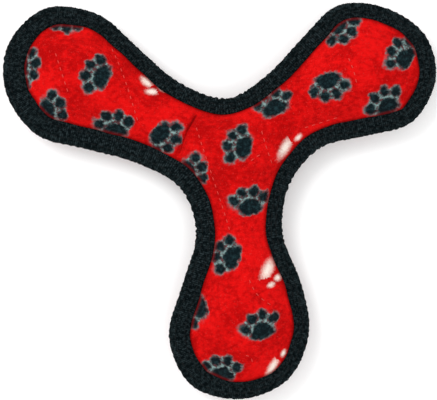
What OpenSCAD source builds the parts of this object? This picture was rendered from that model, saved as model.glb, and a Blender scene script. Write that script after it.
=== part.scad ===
// Soft boomerang: a three-armed stuffed fabric toy, bound with folded tape round its whole edge,
// with a pouched squeaker in each of its three round lobes.
// Millimetres. Z = 0 is the plane it rests on, +Z points to the front face, and the origin is
// under the centre of the hub. The right lobe lies towards +X, the lower lobe towards -Y.

/* [Stuffed body] */
// Height of the seam plane, where the two faces meet under the tape, above the rest plane
seam_z = 16; // [15:0.5:17]
// Rise of the front face above the seam plane at the middle of each lobe
lobe_rise = 18; // [15:0.5:19]
// Rise of the front face above the seam plane at the hub
hub_rise = 16; // [14:0.5:18]
// How much lower than that the face lies at the narrow waist of each arm
waist_drop = 5.5; // [3:0.5:7]
// How far the back would swell through the rest plane if nothing pressed it flat
back_press = 3; // [2:0.5:4]

/* [Fabric] */
// Thickness of the fleece face
fleece_t = 1.4; // [1:0.1:2]
// Thickness of the canvas that backs each fleece face
canvas_t = 0.5; // [0.3:0.1:0.8]

/* [Binding] */
// Flat width of the binding tape before it is folded
tape_w = 25; // [24:0.5:26]
// Thickness of the binding tape
tape_t = 1.1; // [0.8:0.1:1.4]

/* [Stitching] */
// Diameter of the sewing thread
thread_d = 0.7; // [0.4:0.1:1]
// Pitch of the quilting stitches
quilt_pitch = 4.2; // [3.5:0.1:6]

/* [Squeakers] */
// Outer diameter of a squeaker's bulb
bulb_d = 30; // [26:1:31]
// Height of the bulb
bulb_h = 14; // [12:1:15]
// Wall of the bulb
bulb_wall = 1.2; // [0.8:0.1:1.5]
// Diameter of the whistle's stem
stem_d = 8; // [6:0.5:9]

/* [Hidden] */

$fn = 48;

RED = "#cf1315";
CANVAS_WHITE = "#e9e4da";
TAPE_BLACK = "#1b2224";
THREAD_BLACK = "#2c3335";
THREAD_RED = "#e03a35";
FIBRE_WHITE = "#f4f3ef";
BULB_WHITE = "#eceae2";
WHISTLE_WHITE = "#dcdad2";

// Control points of the cut edge, clockwise from the armpit at the top: x, y, and the width of the
// tape's front leaf there. Each arm runs from one armpit, over its tip, to the next armpit.
EDGE = [
    [-2, 31, 9.2], [21.5, 44.5, 9.6], [41.5, 65.5, 10], [61.5, 83.8, 9], [88, 82.8, 8.8],
    [111, 67.5, 9.2], [117.4, 42, 9.8], [104, 17.5, 9.6], [77.5, 9.5, 10], [52, 2.8, 9.6],
    [34.2, -18, 9], [30.3, -46.5, 9.3], [40.6, -74, 9.2], [45.2, -102.5, 9], [33.5, -129, 9],
    [6.5, -140.4, 9.8], [-22, -132.4, 12], [-34.6, -105, 12], [-27.2, -76, 11.4], [-19.2, -46, 11],
    [-28.4, -20, 11.2], [-54, -5.6, 11.6], [-83, 2.3, 12], [-110.4, 10.4, 12.6], [-127.5, 34.5, 12.8],
    [-126, 62, 12], [-104.8, 82.3, 10.8], [-75, 78.8, 9.6], [-53, 60.5, 9], [-29.6, 40.6, 9.2]
];
// Centres of the three lobes, in the order of the arms in EDGE: right, lower, left
LOBES = [[78, 46], [4.5, -100.5], [-91.4, 45.5]];

// Stations along the edge
STEPS_PER_POINT = 3;
N = len(EDGE) * STEPS_PER_POINT;
ARM_N = N / 3;
HALF_N = ARM_N / 2;
// Rows of an arm up to the one that meets its lobe's centre; the later rows fan out from there
LOBE_ROW = 9;
// Row at which the hub's filling ends and an arm's begins
CUT_ROW = 3;
// Places of the dome's grid points between the spine, 0, and the foot of the dome, 1
LEVELS = [0, 0.28, 0.52, 0.72, 0.87, 1];
FOOT = len(LEVELS) - 1;
SPINE_COUNT = 1 + 3 * LOBE_ROW;
LAYER_COUNT = SPINE_COUNT + N * (FOOT + 1);

cover_t = fleece_t + canvas_t;
// Inset of the panels' cut edge inside the tape's fold
panel_inset = tape_t + 0.3;
// What the fold itself takes of the tape's width
fold_w = 4;

function mix(a, b, t) = a + (b - a) * t;

// Closed Catmull-Rom curve through EDGE, and its tangent, at curve parameter u
function edge_span(u) =
    let (i = floor(u), n = len(EDGE))
    [for (k = [-1:2]) EDGE[(i + k + n) % n]];
function edge_at(u) =
    let (p = edge_span(u), t = u - floor(u))
    0.5 * (2 * p[1] + (p[2] - p[0]) * t + (2 * p[0] - 5 * p[1] + 4 * p[2] - p[3]) * t * t
        + (3 * p[1] - p[0] - 3 * p[2] + p[3]) * t * t * t);
function edge_slope(u) =
    let (p = edge_span(u), t = u - floor(u))
    0.5 * ((p[2] - p[0]) + 2 * (2 * p[0] - 5 * p[1] + 4 * p[2] - p[3]) * t
        + 3 * (3 * p[1] - p[0] - 3 * p[2] + p[3]) * t * t);
function inward(u) = let (s = edge_slope(u)) [s.y, -s.x] / norm([s.x, s.y]);

STATION = [for (i = [0:N - 1]) edge_at(i / STEPS_PER_POINT)];
INWARD = [for (i = [0:N - 1]) inward(i / STEPS_PER_POINT)];

// A point inset by d from the edge at station i, which may be fractional
function inset_at(i, d) =
    let (a = floor(i) % N, b = (a + 1) % N, t = i - floor(i))
    mix([STATION[a].x, STATION[a].y] + INWARD[a] * d, [STATION[b].x, STATION[b].y] + INWARD[b] * d, t);
function front_leaf(i) = STATION[i % N][2];
function back_leaf(i) = tape_w - fold_w - front_leaf(i);
// The dome starts where the wider leaf of the tape ends
function foot_inset(i) = max(front_leaf(i), back_leaf(i)) + 0.3;

// Arm and row of a station; the rows count from an armpit to the tip, on both sides of the arm
function arm_of(i) = floor((i % N) / ARM_N);
function row_of(i) = let (r = (i % N) % ARM_N) r <= HALF_N ? r : ARM_N - r;
// How far along the spine, from 0 at the hub to 1 at the lobe's centre, a row starts
function reach(row) = min(row / LOBE_ROW, 1);
function spine_at(i) = LOBES[arm_of(i)] * reach(row_of(i));

function dome(f) = pow(1 - pow(f, 2.4), 0.75);
function waist(t) = pow(sin(180 * t), 2);
function front_rise(t) = mix(hub_rise, lobe_rise, t) - cover_t - waist_drop * waist(t);
function back_rise(t) = seam_z - cover_t + back_press - (waist_drop + 1) * waist(t);
// Height of a face's outer surface, at reach t along the spine and level f across
function front_z(t, f) = seam_z + cover_t + front_rise(t) * dome(f);
function back_z(t, f) = max(0, seam_z - cover_t - back_rise(t) * dome(f));
function face_z(front, t, f) = front ? front_z(t, f) : back_z(t, f);

// Grid of one surface, depth below the face's outside: the spine's points, then each station's levels
// and last the edge of the flat flange
function face_grid(front, depth) =
    let (sink = front ? -depth : depth)
    concat(
        [[0, 0, face_z(front, 0, 0) + sink]],
        [for (arm = [0:2], row = [1:LOBE_ROW])
            let (p = LOBES[arm] * reach(row)) [p.x, p.y, face_z(front, reach(row), 0) + sink]],
        [for (i = [0:N - 1], j = [1:FOOT + 1])
            let (foot = inset_at(i, foot_inset(i)), f = LEVELS[min(j, FOOT)],
                 p = j > FOOT ? inset_at(i, panel_inset) : mix(spine_at(i), foot, f))
            [p.x, p.y, face_z(front, reach(row_of(i)), f) + sink]]
    );

// Index in a surface of station i's level j
function spine_id(i) = row_of(i) == 0 ? 0 : arm_of(i) * LOBE_ROW + min(row_of(i), LOBE_ROW);
function grid_id(i, j) = j == 0 ? spine_id(i % N) : SPINE_COUNT + (i % N) * (FOOT + 1) + j - 1;

function tri(a, b, c) = a == b || b == c || a == c ? [] : [[a, b, c]];
function quad(a, b, c, d) = concat(tri(a, b, c), tri(a, c, d));
function joined(lists) = [for (l = lists) each l];

// The grid's faces between stations i and i + 1 and levels j and j + 1, on the upper or lower layer of
// points. With shared, the two layers meet at the foot of the dome, and the lower takes the upper's points.
function point_id(i, j, low, shared) = grid_id(i, j) + (low && !(shared && j == FOOT) ? LAYER_COUNT : 0);
function patch(i, j, low, shared) =
    quad(point_id(i, j, low, shared), point_id(i, j + 1, low, shared),
        point_id(i + 1, j + 1, low, shared), point_id(i + 1, j, low, shared));
function reversed(faces) = [for (f = faces) [f[2], f[1], f[0]]];

// A sheet of cloth between two grids of points, dome and flange
module laminate(top, bottom) {
    over = [for (i = [0:N - 1], j = [0:FOOT]) patch(i, j, false, false)];
    under = [for (i = [0:N - 1], j = [0:FOOT]) reversed(patch(i, j, true, false))];
    rim = [for (i = [0:N - 1])
        let (a = grid_id(i, FOOT + 1), b = grid_id(i + 1, FOOT + 1), o = LAYER_COUNT)
        quad(b, a, o + a, o + b)];
    polyhedron(points = concat(top, bottom), faces = joined(concat(over, under, rim)), convexity = 6);
}

// Filling between the two canvases, for the stations in each [from, to] of spans
function wall(i) = [for (j = [0:FOOT - 1])
    quad(grid_id(i, j + 1), grid_id(i, j), point_id(i, j, true, true), point_id(i, j + 1, true, true))];

module filling(spans) {
    over = [for (s = spans, i = [s[0]:s[1] - 1], j = [0:FOOT - 1]) patch(i, j, false, true)];
    under = [for (s = spans, i = [s[0]:s[1] - 1], j = [0:FOOT - 1]) reversed(patch(i, j, true, true))];
    starts = [for (s = spans) joined(wall(s[0]))];
    ends = [for (s = spans) reversed(joined(wall(s[1])))];
    polyhedron(points = concat(face_grid(true, cover_t), face_grid(false, cover_t)),
        faces = joined(concat(over, under, starts, ends)), convexity = 6);
}

module hub_fill_solid() {
    filling([for (arm = [0:2]) [(arm + 3) * ARM_N - CUT_ROW, (arm + 3) * ARM_N + CUT_ROW]]);
}

module arm_fill_solid(arm) {
    difference() {
        filling([[arm * ARM_N + CUT_ROW, (arm + 1) * ARM_N - CUT_ROW]]);
        at_lobe(arm) pouch_space();
    }
}

// The tape's section at station i: inset from the edge, and height from the seam plane
function tape_section(i) =
    let (front = front_leaf(i), back = back_leaf(i), z = cover_t, t = z + tape_t)
    [[front, t], [2.4, t], [0.7, t - 0.6], [0, 1], [0, -1], [0.7, 0.6 - t], [2.4, -t], [back, -t],
     [back, -z], [panel_inset, -z], [panel_inset, z], [front, z]];

module tape_solid() {
    corners = len(tape_section(0));
    points = [for (i = [0:N - 1], c = tape_section(i))
        let (p = inset_at(i, c[0])) [p.x, p.y, seam_z + c[1]]];
    faces = [for (i = [0:N - 1], c = [0:corners - 1])
        let (a = i * corners, b = ((i + 1) % N) * corners, d = (c + 1) % corners)
        quad(a + c, a + d, b + d, b + c)];
    polyhedron(points = points, faces = joined(faces), convexity = 8);
}

// One stitch of thread, from point a to point b
module stitch(a, b) {
    v = b - a;
    translate(a)
        rotate([0, acos(v.z / norm(v)), atan2(v.y, v.x)])
            cylinder(h = norm(v), d = thread_d, $fn = 16);
}

// A row of stitches along the whole edge, at height z; inset_list gives the inset at each station
module edge_row(inset_list, z) {
    for (i = [0:N - 1]) {
        a = inset_at(i + 0.22, mix(inset_list[i], inset_list[(i + 1) % N], 0.22));
        b = inset_at(i + 0.78, mix(inset_list[i], inset_list[(i + 1) % N], 0.78));
        stitch([a.x, a.y, z], [b.x, b.y, z]);
    }
}

// Quilting lines, each [arm, row and level at one end, row and level at the other end]. A level
// below 0 is on the side of the arm that comes first going clockwise, one above 0 on the other.
QUILTING = [
    [0, 1, -0.8, 5, 0.8], [0, 4, -0.8, 8, 0.85], [0, 7, -0.85, 12, 0.6], [0, 5, -0.8, 1.5, 0.8],
    [0, 9, -0.8, 4.5, 0.8], [0, 12, -0.75, 8, 0.8],
    [1, 1.5, -0.8, 5, 0.8], [1, 4.5, -0.8, 8, 0.85], [1, 8, -0.85, 12, 0.6], [1, 5, -0.8, 1.5, 0.8],
    [1, 9, -0.8, 4.5, 0.8], [1, 12.5, -0.75, 8, 0.8],
    [2, 1.5, -0.8, 5, 0.8], [2, 4.5, -0.8, 8, 0.85], [2, 8, -0.85, 12, 0.6], [2, 5, -0.8, 1.5, 0.8],
    [2, 9, -0.8, 4.5, 0.8], [2, 12.5, -0.75, 8, 0.8]
];

// A point on a face at an arm's row, which may be fractional, and signed level
function row_point(front, arm, row, level, sink) =
    let (i = arm * ARM_N + (level < 0 ? row : ARM_N - row),
         p = mix(spine_at(i), inset_at(i, foot_inset(i)), abs(level)))
    [p.x, p.y, face_z(front, reach(row), abs(level)) + sink];
function face_point(front, arm, row, level, sink) =
    let (low = floor(row))
    mix(row_point(front, arm, low, level, sink), row_point(front, arm, low + 1, level, sink), row - low);
function line_point(front, l, t, sink) =
    face_point(front, l[0], mix(l[1], l[3], t), mix(l[2], l[4], t), sink);

module quilting(front, sink) {
    for (l = QUILTING) {
        span = norm(line_point(front, l, 0, sink) - line_point(front, l, 0.5, sink))
            + norm(line_point(front, l, 0.5, sink) - line_point(front, l, 1, sink));
        count = floor(span / quilt_pitch);
        for (k = [0:count - 1])
            stitch(line_point(front, l, (k + 0.2) / count, sink), line_point(front, l, (k + 0.75) / count, sink));
    }
}

// Squeaker sizes, as heights above the rest plane
bulb_z = seam_z - 8;
neck_z = bulb_z + bulb_h;
flange_gap = 0.3;
flange_t = 2;
whistle_top = neck_z + flange_gap + flange_t;
stem_len = 6;
stem_gap = 0.2;
neck_r = stem_d / 2 + stem_gap;
flange_r = stem_d / 2 + 3;
pouch_gap = 0.8;
pouch_t = 0.5;
pouch_r = bulb_d / 2 + pouch_gap + pouch_t;
air_r = 1.2;
recess_r = 2.8;
recess_h = 2.5;
reed_size = [5, 1.8, 0.3];

module at_lobe(arm) {
    translate([LOBES[arm].x, LOBES[arm].y, 0]) children();
}

// A flattened round form of radius r from z0 to z1 with corners rounded by c
module puck(r, z0, z1, c) {
    rotate_extrude() intersection() {
        offset_box(r, z0, z1, c);
        translate([0, z0]) square([r, z1 - z0]);
    }
}

// Section of a puck: a rectangle with its two outer corners rounded by c
module offset_box(r, z0, z1, c) {
    translate([0, z0]) square([r - c, z1 - z0]);
    translate([0, z0 + c]) square([r, z1 - z0 - 2 * c]);
    for (z = [z0 + c, z1 - c]) translate([r - c, z]) circle(r = c);
}

module pouch_space() {
    puck(pouch_r, bulb_z - pouch_gap - pouch_t, whistle_top + pouch_gap + pouch_t, 5);
}

module pouch() {
    difference() {
        pouch_space();
        puck(pouch_r - pouch_t, bulb_z - pouch_gap, whistle_top + pouch_gap, 4.5);
    }
}

module bulb() {
    difference() {
        puck(bulb_d / 2, bulb_z, neck_z, 4);
        puck(bulb_d / 2 - bulb_wall, bulb_z + bulb_wall, neck_z - bulb_wall, 3);
        translate([0, 0, neck_z - bulb_wall - 1]) cylinder(r = neck_r, h = bulb_wall + 2);
    }
}

module whistle() {
    difference() {
        union() {
            translate([0, 0, neck_z + flange_gap]) cylinder(r = flange_r, h = flange_t);
            translate([0, 0, neck_z + flange_gap - stem_len]) cylinder(d = stem_d, h = stem_len + 1);
        }
        translate([0, 0, neck_z - stem_len - 1]) cylinder(r = air_r, h = stem_len + flange_t + 3);
        translate([0, 0, neck_z + flange_gap - stem_len - 1]) cylinder(r = recess_r, h = recess_h + 1);
    }
}

module reed() {
    top = neck_z + flange_gap - stem_len + recess_h;
    translate([-reed_size.x / 2, -reed_size.y / 2, top - reed_size.z]) cube(reed_size);
}

module front_fleece() { color(RED) laminate(face_grid(true, 0), face_grid(true, fleece_t)); }
module front_canvas() { color(CANVAS_WHITE) laminate(face_grid(true, fleece_t), face_grid(true, cover_t)); }
module front_quilting_thread() { color(THREAD_RED) quilting(true, -0.15); }
module back_fleece() { color(RED) laminate(face_grid(false, fleece_t), face_grid(false, 0)); }
module back_canvas() { color(CANVAS_WHITE) laminate(face_grid(false, cover_t), face_grid(false, fleece_t)); }
module back_quilting_thread() { color(THREAD_RED) quilting(false, thread_d / 2 + 0.05); }
module edge_binding() { color(TAPE_BLACK) tape_solid(); }

tape_top = seam_z + cover_t + tape_t;
tape_bottom = seam_z - cover_t - tape_t;
outer_row = 3.6;
inner_row_margin = 3;
module outer_needle_thread() {
    color(THREAD_BLACK) edge_row([for (i = [0:N - 1]) outer_row], tape_top);
}
module outer_bobbin_thread() {
    color(THREAD_BLACK) edge_row([for (i = [0:N - 1]) outer_row], tape_bottom);
}
module inner_needle_thread() {
    color(THREAD_BLACK) edge_row([for (i = [0:N - 1]) front_leaf(i) - inner_row_margin], tape_top);
}
module inner_bobbin_thread() {
    color(THREAD_BLACK) edge_row([for (i = [0:N - 1]) back_leaf(i) - inner_row_margin], tape_bottom);
}
module panel_seam_thread() {
    color(CANVAS_WHITE) edge_row([for (i = [0:N - 1]) 2 * outer_row], seam_z);
}

module hub_filling() { color(FIBRE_WHITE) hub_fill_solid(); }
module right_arm_filling() { color(FIBRE_WHITE) arm_fill_solid(0); }
module lower_arm_filling() { color(FIBRE_WHITE) arm_fill_solid(1); }
module left_arm_filling() { color(FIBRE_WHITE) arm_fill_solid(2); }

module squeaker_pouch(arm) { color(CANVAS_WHITE) at_lobe(arm) pouch(); }
module squeaker_bulb(arm) { color(BULB_WHITE) at_lobe(arm) bulb(); }
module squeaker_whistle(arm) { color(WHISTLE_WHITE) at_lobe(arm) whistle(); }
module squeaker_reed(arm) { color("#c8a24a") at_lobe(arm) reed(); }

front_fleece();
front_canvas();
front_quilting_thread();
back_fleece();
back_canvas();
back_quilting_thread();
edge_binding();
outer_needle_thread();
outer_bobbin_thread();
inner_needle_thread();
inner_bobbin_thread();
panel_seam_thread();
hub_filling();
right_arm_filling();
lower_arm_filling();
left_arm_filling();
squeaker_pouch(0);  // right_squeaker_pouch
squeaker_bulb(0);  // right_squeaker_bulb
squeaker_whistle(0);  // right_squeaker_whistle
squeaker_reed(0);  // right_squeaker_reed
squeaker_pouch(1);  // lower_squeaker_pouch
squeaker_bulb(1);  // lower_squeaker_bulb
squeaker_whistle(1);  // lower_squeaker_whistle
squeaker_reed(1);  // lower_squeaker_reed
squeaker_pouch(2);  // left_squeaker_pouch
squeaker_bulb(2);  // left_squeaker_bulb
squeaker_whistle(2);  // left_squeaker_whistle
squeaker_reed(2);  // left_squeaker_reed
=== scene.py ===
"""Soft boomerang: fleece faces, tape binding, stitching, filling and squeakers, made round the frame.

Lengths in the code are millimetres, and the properties are in metres. A height is counted from the
seam plane outwards, so it is positive over the seam on the front and under it on the back.
"""

import math
import random

import bpy
import numpy as np
from bpy.props import FloatProperty, FloatVectorProperty, IntProperty, PointerProperty
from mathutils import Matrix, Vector, geometry, kdtree, noise
from mathutils.bvhtree import BVHTree


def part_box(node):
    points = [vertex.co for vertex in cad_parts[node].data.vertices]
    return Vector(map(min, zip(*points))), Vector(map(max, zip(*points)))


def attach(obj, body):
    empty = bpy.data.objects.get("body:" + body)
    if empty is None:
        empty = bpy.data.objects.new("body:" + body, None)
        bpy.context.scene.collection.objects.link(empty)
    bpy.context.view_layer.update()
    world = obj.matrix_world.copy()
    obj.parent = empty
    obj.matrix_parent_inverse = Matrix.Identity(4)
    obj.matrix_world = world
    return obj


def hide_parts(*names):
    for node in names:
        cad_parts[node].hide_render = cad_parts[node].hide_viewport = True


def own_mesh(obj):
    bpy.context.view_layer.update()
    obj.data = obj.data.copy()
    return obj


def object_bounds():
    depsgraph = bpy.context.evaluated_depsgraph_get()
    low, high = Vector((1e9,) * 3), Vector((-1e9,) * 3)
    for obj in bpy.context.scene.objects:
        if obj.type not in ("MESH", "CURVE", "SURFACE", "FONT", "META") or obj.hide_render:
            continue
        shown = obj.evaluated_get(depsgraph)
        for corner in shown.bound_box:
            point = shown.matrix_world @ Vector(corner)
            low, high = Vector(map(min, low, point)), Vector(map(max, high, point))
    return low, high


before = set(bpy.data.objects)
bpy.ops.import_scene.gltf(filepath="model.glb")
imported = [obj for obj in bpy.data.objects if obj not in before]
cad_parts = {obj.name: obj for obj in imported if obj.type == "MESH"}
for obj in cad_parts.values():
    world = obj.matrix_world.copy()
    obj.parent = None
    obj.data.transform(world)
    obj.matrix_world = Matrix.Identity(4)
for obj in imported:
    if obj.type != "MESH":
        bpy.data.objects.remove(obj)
CAD_LOW, CAD_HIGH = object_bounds()

bl_info = {
    "name": "Soft boomerang",
    "version": (1, 0, 0),
    "blender": (4, 5, 0),
    "location": "3D View > Sidebar > Boomerang",
    "description": "Builds a stuffed fabric boomerang with a taped edge, piece by piece",
    "category": "Add Mesh",
}

MM = 0.001
TAU = 2 * math.pi
BODY = "stuffed_body"
ARMS = ("right", "lower", "left")

# Rows of quilting on the front, as the points that each row of stitches passes through
FRONT_QUILTING = [
    [(-98.5, 56), (-94.5, 44), (-90, 30)],
    [(-67, 59), (-60, 44), (-51.5, 16)],
    [(-19, 14), (-10, -13), (-3, -34), (0.5, -46)],
    [(11, -72), (15, -81), (26.5, -88.5)],
    [(18, 12), (20.5, 3), (24.5, -8)],
    [(67, 53), (70.5, 44), (72, 35)],
    [(17, -1.5), (13.5, -3.5), (9.5, -7)],
    [(42.5, 14), (53.5, 17.5), (65, 21)],
    [(9, -114.5), (12.5, -116), (13, -120.5)],
]
# Rows of quilting on the back: distance of each row from the hub, for the two ways the rows run
BACK_ROWS = (-109, -77, -44, -12, 20, 52, 84)
BACK_CROSS_ROWS = (-138, -105, -72, -39, -6, 27, 60)
QUILT_TILT = math.radians(18)

# Folds and wrinkles of the front: points, depth, width, and height of the roll beside it
FRONT_FOLDS = [
    ([(-17.5, 24), (-20, 19.3), (-22.5, 15), (-24.5, 11.5), (-26.5, 6), (-28.5, 0), (-31, -4.5)],
     2.2, 1.0, 1.0),
    ([(9.5, -84.5), (15.5, -80.5), (21.5, -77), (31, -72)], 1.1, 0.8, 0.4),
    ([(-45.5, 31.5), (-41.5, 32.5), (-37.5, 35)], 0.8, 0.9, 0.3),
    ([(12, -46), (16.5, -44.5), (21.5, -41.5)], 0.5, 1.0, 0.2),
]
# Folds of the back, in the same terms
BACK_FOLDS = [
    ([(14, 14), (20, 20), (27, 29)], 1.2, 1.3, 0.5),
    ([(-15, -33), (-8, -34), (0, -32)], 1.0, 1.2, 0.4),
]

# Paw prints of the front: x, y of the pad's centre and the angle its toes point at
FRONT_PAWS = [
    (-73, 43, 157), (-118, 48.5, -10), (-91.5, 78.5, -75), (-103, 23.5, 8), (-65.5, 13, 95),
    (-38.5, 10, -42), (7, 3.5, 158), (25, 26, 108), (-23, -11.5, 0), (11.5, -30, 98), (62, 72, -50),
    (99, 54.5, 140), (55.5, 39.5, -77), (89, 26.5, 126), (0.5, -59, 160), (-18.5, -88, 190),
    (18, -100, 112), (-4.5, -125.5, 90),
]
# The paw that the front's long fold cuts off
FOLDED_PAW = 5
# White flecks of the front: x, y, angle of its long way, half its length, half its width
FRONT_FLECKS = [
    (-47, 40, -38, 4.0, 2.2), (-44, 34.5, 0, 3.6, 1.7), (-38.5, 36, -30, 2.6, 1.2),
    (31.5, 2.8, 59, 6.6, 2.5), (39, 8.5, 45, 2.4, 1.4), (21.5, -66.6, 66, 6.6, 3.0),
    (27.5, -71, 35, 2.4, 1.7), (23.5, -75, 25, 2.2, 1.4), (24.5, -121.5, 60, 6.2, 2.1),
    (30.5, -114, 60, 2.2, 1.3),
]

# Finishes, as linear red, green and blue
FLEECE_RED = (0.31, 0.0008, 0.001, 1)
FLEECE_LIGHT = (0.56, 0.0035, 0.0035, 1)
# Painted shade of the fleece, laid along the tape's inner edge and in the deep folds
FLEECE_PAINTED_SHADE = (0.17, 0.0008, 0.0012, 1)
FLEECE_SPECK = (0.6, 0.045, 0.04, 1)
PAW_BLACK = (0.0022, 0.0062, 0.0078, 1)
PAW_TEAL = (0.009, 0.025, 0.029, 1)
PAW_GREY = (0.19, 0.28, 0.27, 1)
PAW_RIM = (0.17, 0.12, 0.125, 1)
FLECK_WHITE = (0.74, 0.64, 0.57, 1)
TAPE_DARK = (0.0009, 0.0027, 0.0033, 1)
TAPE_LIGHT = (0.021, 0.032, 0.035, 1)
LINT_GREY = (0.07, 0.08, 0.08, 1)
THREAD_BLACK = (0.003, 0.006, 0.007, 1)
THREAD_RED = (0.64, 0.042, 0.035, 1)
THREAD_WHITE = (0.62, 0.58, 0.5, 1)
CANVAS_WHITE = (0.74, 0.7, 0.62, 1)
# Darker canvas for the yarn's own slubs and for the painted shade between its threads
CANVAS_SHADE = (0.55, 0.51, 0.44, 1)
FIBRE_WHITE = (0.86, 0.86, 0.83, 1)
FIBRE_SHADE = (0.62, 0.62, 0.6, 1)
BULB_WHITE = (0.78, 0.76, 0.7, 1)
BULB_CLOUD = (0.68, 0.66, 0.59, 1)
WHISTLE_WHITE = (0.7, 0.68, 0.62, 1)
REED_AMBER = (0.55, 0.34, 0.06, 1)
REED_SHADE = (0.42, 0.24, 0.04, 1)
FLOOR_PALE = (0.94, 0.94, 0.94, 1)


# ---------------------------------------------------------------- settings

def length(name, description, millimetres):
    """A length that the user may change, with its default in millimetres."""
    return FloatProperty(
        name=name, description=description, default=millimetres * MM, min=0, precision=4, unit="LENGTH",
    )


class FabricSettings(bpy.types.PropertyGroup):
    """Sizes of the two faces and of what backs them."""

    fleece: length("Fleece", "Thickness of the fleece faces", 1.4)
    canvas: length("Canvas", "Thickness of the canvas behind each face", 0.5)
    grid: length("Grid", "Spacing of the points of a face", 1.15)
    cloth_grid: length("Cloth grid", "Spacing of the points of the simulated pillow", 3.6)
    lobe_rise: length("Lobe rise", "Height of the stuffed lobes over the tape's inner edge", 15.8)
    back_rise: length("Back rise", "Swell of the back before the floor presses it flat", 16.6)
    lump: length("Lumps", "Height of the lumps that the filling leaves", 0.45)
    quilt_depth: length("Quilting depth", "Depth of the valley along a row of quilting", 0.75)
    quilt_pitch: length("Quilting pitch", "Length of a quilting stitch and the gap after it", 4.2)
    pressure: FloatProperty(name="Pressure", description="Air pressure in the simulated pillow", default=4)
    frames: IntProperty(name="Frames", description="Frames that the simulation runs", default=20)


class TapeSettings(bpy.types.PropertyGroup):
    """Sizes of the binding tape and its stitching."""

    thickness: length("Thickness", "Thickness of the tape", 1.1)
    rib: length("Rib pitch", "Distance from rib to rib along the tape", 1.15)
    rib_height: length("Rib height", "Height of a rib", 0.14)
    lift: length("Lift", "How far the stuffing lifts the tape's inner edges", 0.5)
    pucker: length("Pucker", "Depth of the gathers on the inside of the bends", 0.5)
    stitch: length("Stitch pitch", "Length of a stitch and the gap after it", 4.5)
    thread: length("Thread", "Radius of the sewing thread", 0.32)


class SqueakerSettings(bpy.types.PropertyGroup):
    """Sizes of the squeakers."""

    wall: length("Wall", "Wall of the bulb", 1.2)
    pouch: length("Pouch", "Thickness of the pouch's canvas", 0.5)


class StageSettings(bpy.types.PropertyGroup):
    """The floor, the light and the camera."""

    view_width: length("View width", "Width that the camera sees at the tape", 249)
    distance: length("Distance", "Height of the camera over the floor", 1400)
    key_power: FloatProperty(
        name="Key light", description="Power of the main light", default=12, unit="POWER")
    fill_power: FloatProperty(
        name="Fill light", description="Power of the second light", default=4, unit="POWER")
    ambient: FloatProperty(name="Ambient", description="Strength of the light from all round", default=1.12)
    floor: FloatVectorProperty(name="Floor", description="Colour of the floor", default=FLOOR_PALE, size=4,
                               subtype="COLOR")


class BoomerangSettings(bpy.types.PropertyGroup):
    """All the settings of the toy."""

    fabric: PointerProperty(type=FabricSettings)
    tape: PointerProperty(type=TapeSettings)
    squeaker: PointerProperty(type=SqueakerSettings)
    stage: PointerProperty(type=StageSettings)


# ---------------------------------------------------------------- reading the frame

def node_corners(name):
    """Corner points of a CAD node."""
    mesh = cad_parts[name].data
    points = np.empty(len(mesh.vertices) * 3)
    mesh.vertices.foreach_get("co", points)
    return points.reshape(-1, 3) / MM


def distinct(points, gap=0.3):
    """Points with those that lie within gap of an earlier one left out."""
    kept = []
    for p in points:
        if all((p[0] - q[0]) ** 2 + (p[1] - q[1]) ** 2 > gap * gap for q in kept):
            kept.append(p)
    return np.array(kept)


def chained(points):
    """Points in the order in which a closed outline passes them, clockwise."""
    left = list(range(1, len(points)))
    order = [0]
    while left:
        here = points[order[-1]]
        nearest = min(left, key=lambda k: (points[k][0] - here[0]) ** 2 + (points[k][1] - here[1]) ** 2)
        left.remove(nearest)
        order.append(nearest)
    ring = points[order]
    after = np.roll(ring, -1, axis=0)
    area = np.sum(ring[:, 0] * after[:, 1] - after[:, 0] * ring[:, 1])
    return ring if area < 0 else ring[::-1]


def leaf_widths(ring, corners):
    """Width of the tape's leaf at each point of the outline, from the leaf's corner points."""
    ahead = np.roll(ring, -1, axis=0) - np.roll(ring, 1, axis=0)
    ahead /= np.linalg.norm(ahead, axis=1)[:, None]
    widths = []
    for place, along in zip(ring, ahead):
        rel = corners - place
        inward = rel @ np.array([along[1], -along[0]])
        aside = np.abs(rel @ along)
        aside[(inward < 5) | (inward > 18)] = 1e3
        widths.append(inward[np.argmin(aside)])
    return np.array(widths)


TAPE_LOW, TAPE_HIGH = (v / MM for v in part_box("edge_binding"))
SEAM = (TAPE_LOW.z + TAPE_HIGH.z) / 2
FOLD_EDGE = 1.0
# Inset of the panels' cut edge inside the tape's fold
PANEL_INSET = 1.4


def outline_rows():
    """The outline of the tape's fold with the widths of its front and back leaves."""
    corners = node_corners("edge_binding")
    height = corners[:, 2]
    fold = corners[np.abs(height - SEAM - FOLD_EDGE) < 0.05][:, :2]
    ring = chained(distinct(fold))
    top = corners[height > TAPE_HIGH.z - 0.05][:, :2]
    bottom = corners[height < TAPE_LOW.z + 0.05][:, :2]
    return np.column_stack([ring, leaf_widths(ring, top), leaf_widths(ring, bottom)])


def smooth_loop(rows, count):
    """Rows of a closed loop, resampled evenly by length along a smooth curve through them."""
    fine = 24
    t = (np.arange(fine) / fine)[None, :, None]
    p0, p1, p2, p3 = (np.roll(rows, k, axis=0)[:, None, :] for k in (1, 0, -1, -2))
    curve = 0.5 * (2 * p1 + (p2 - p0) * t + (2 * p0 - 5 * p1 + 4 * p2 - p3) * t ** 2
                   + (3 * p1 - p0 - 3 * p2 + p3) * t ** 3)
    curve = curve.reshape(-1, rows.shape[1])
    closed = np.vstack([curve, curve[:1]])
    run = np.concatenate([[0], np.cumsum(np.linalg.norm(np.diff(closed[:, :2], axis=0), axis=1))])
    even = np.linspace(0, run[-1], count, endpoint=False)
    return np.column_stack([np.interp(even, run, closed[:, k]) for k in range(rows.shape[1])])


def wander(count, waves, seed):
    """A closed and gently irregular row of numbers of about unit size, made of a few seeded waves."""
    draw = random.Random(seed)
    turn = np.linspace(0, TAU, count, endpoint=False)
    return sum(np.sin(n * turn + draw.uniform(0, TAU)) for n in waves) / len(waves)


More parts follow.
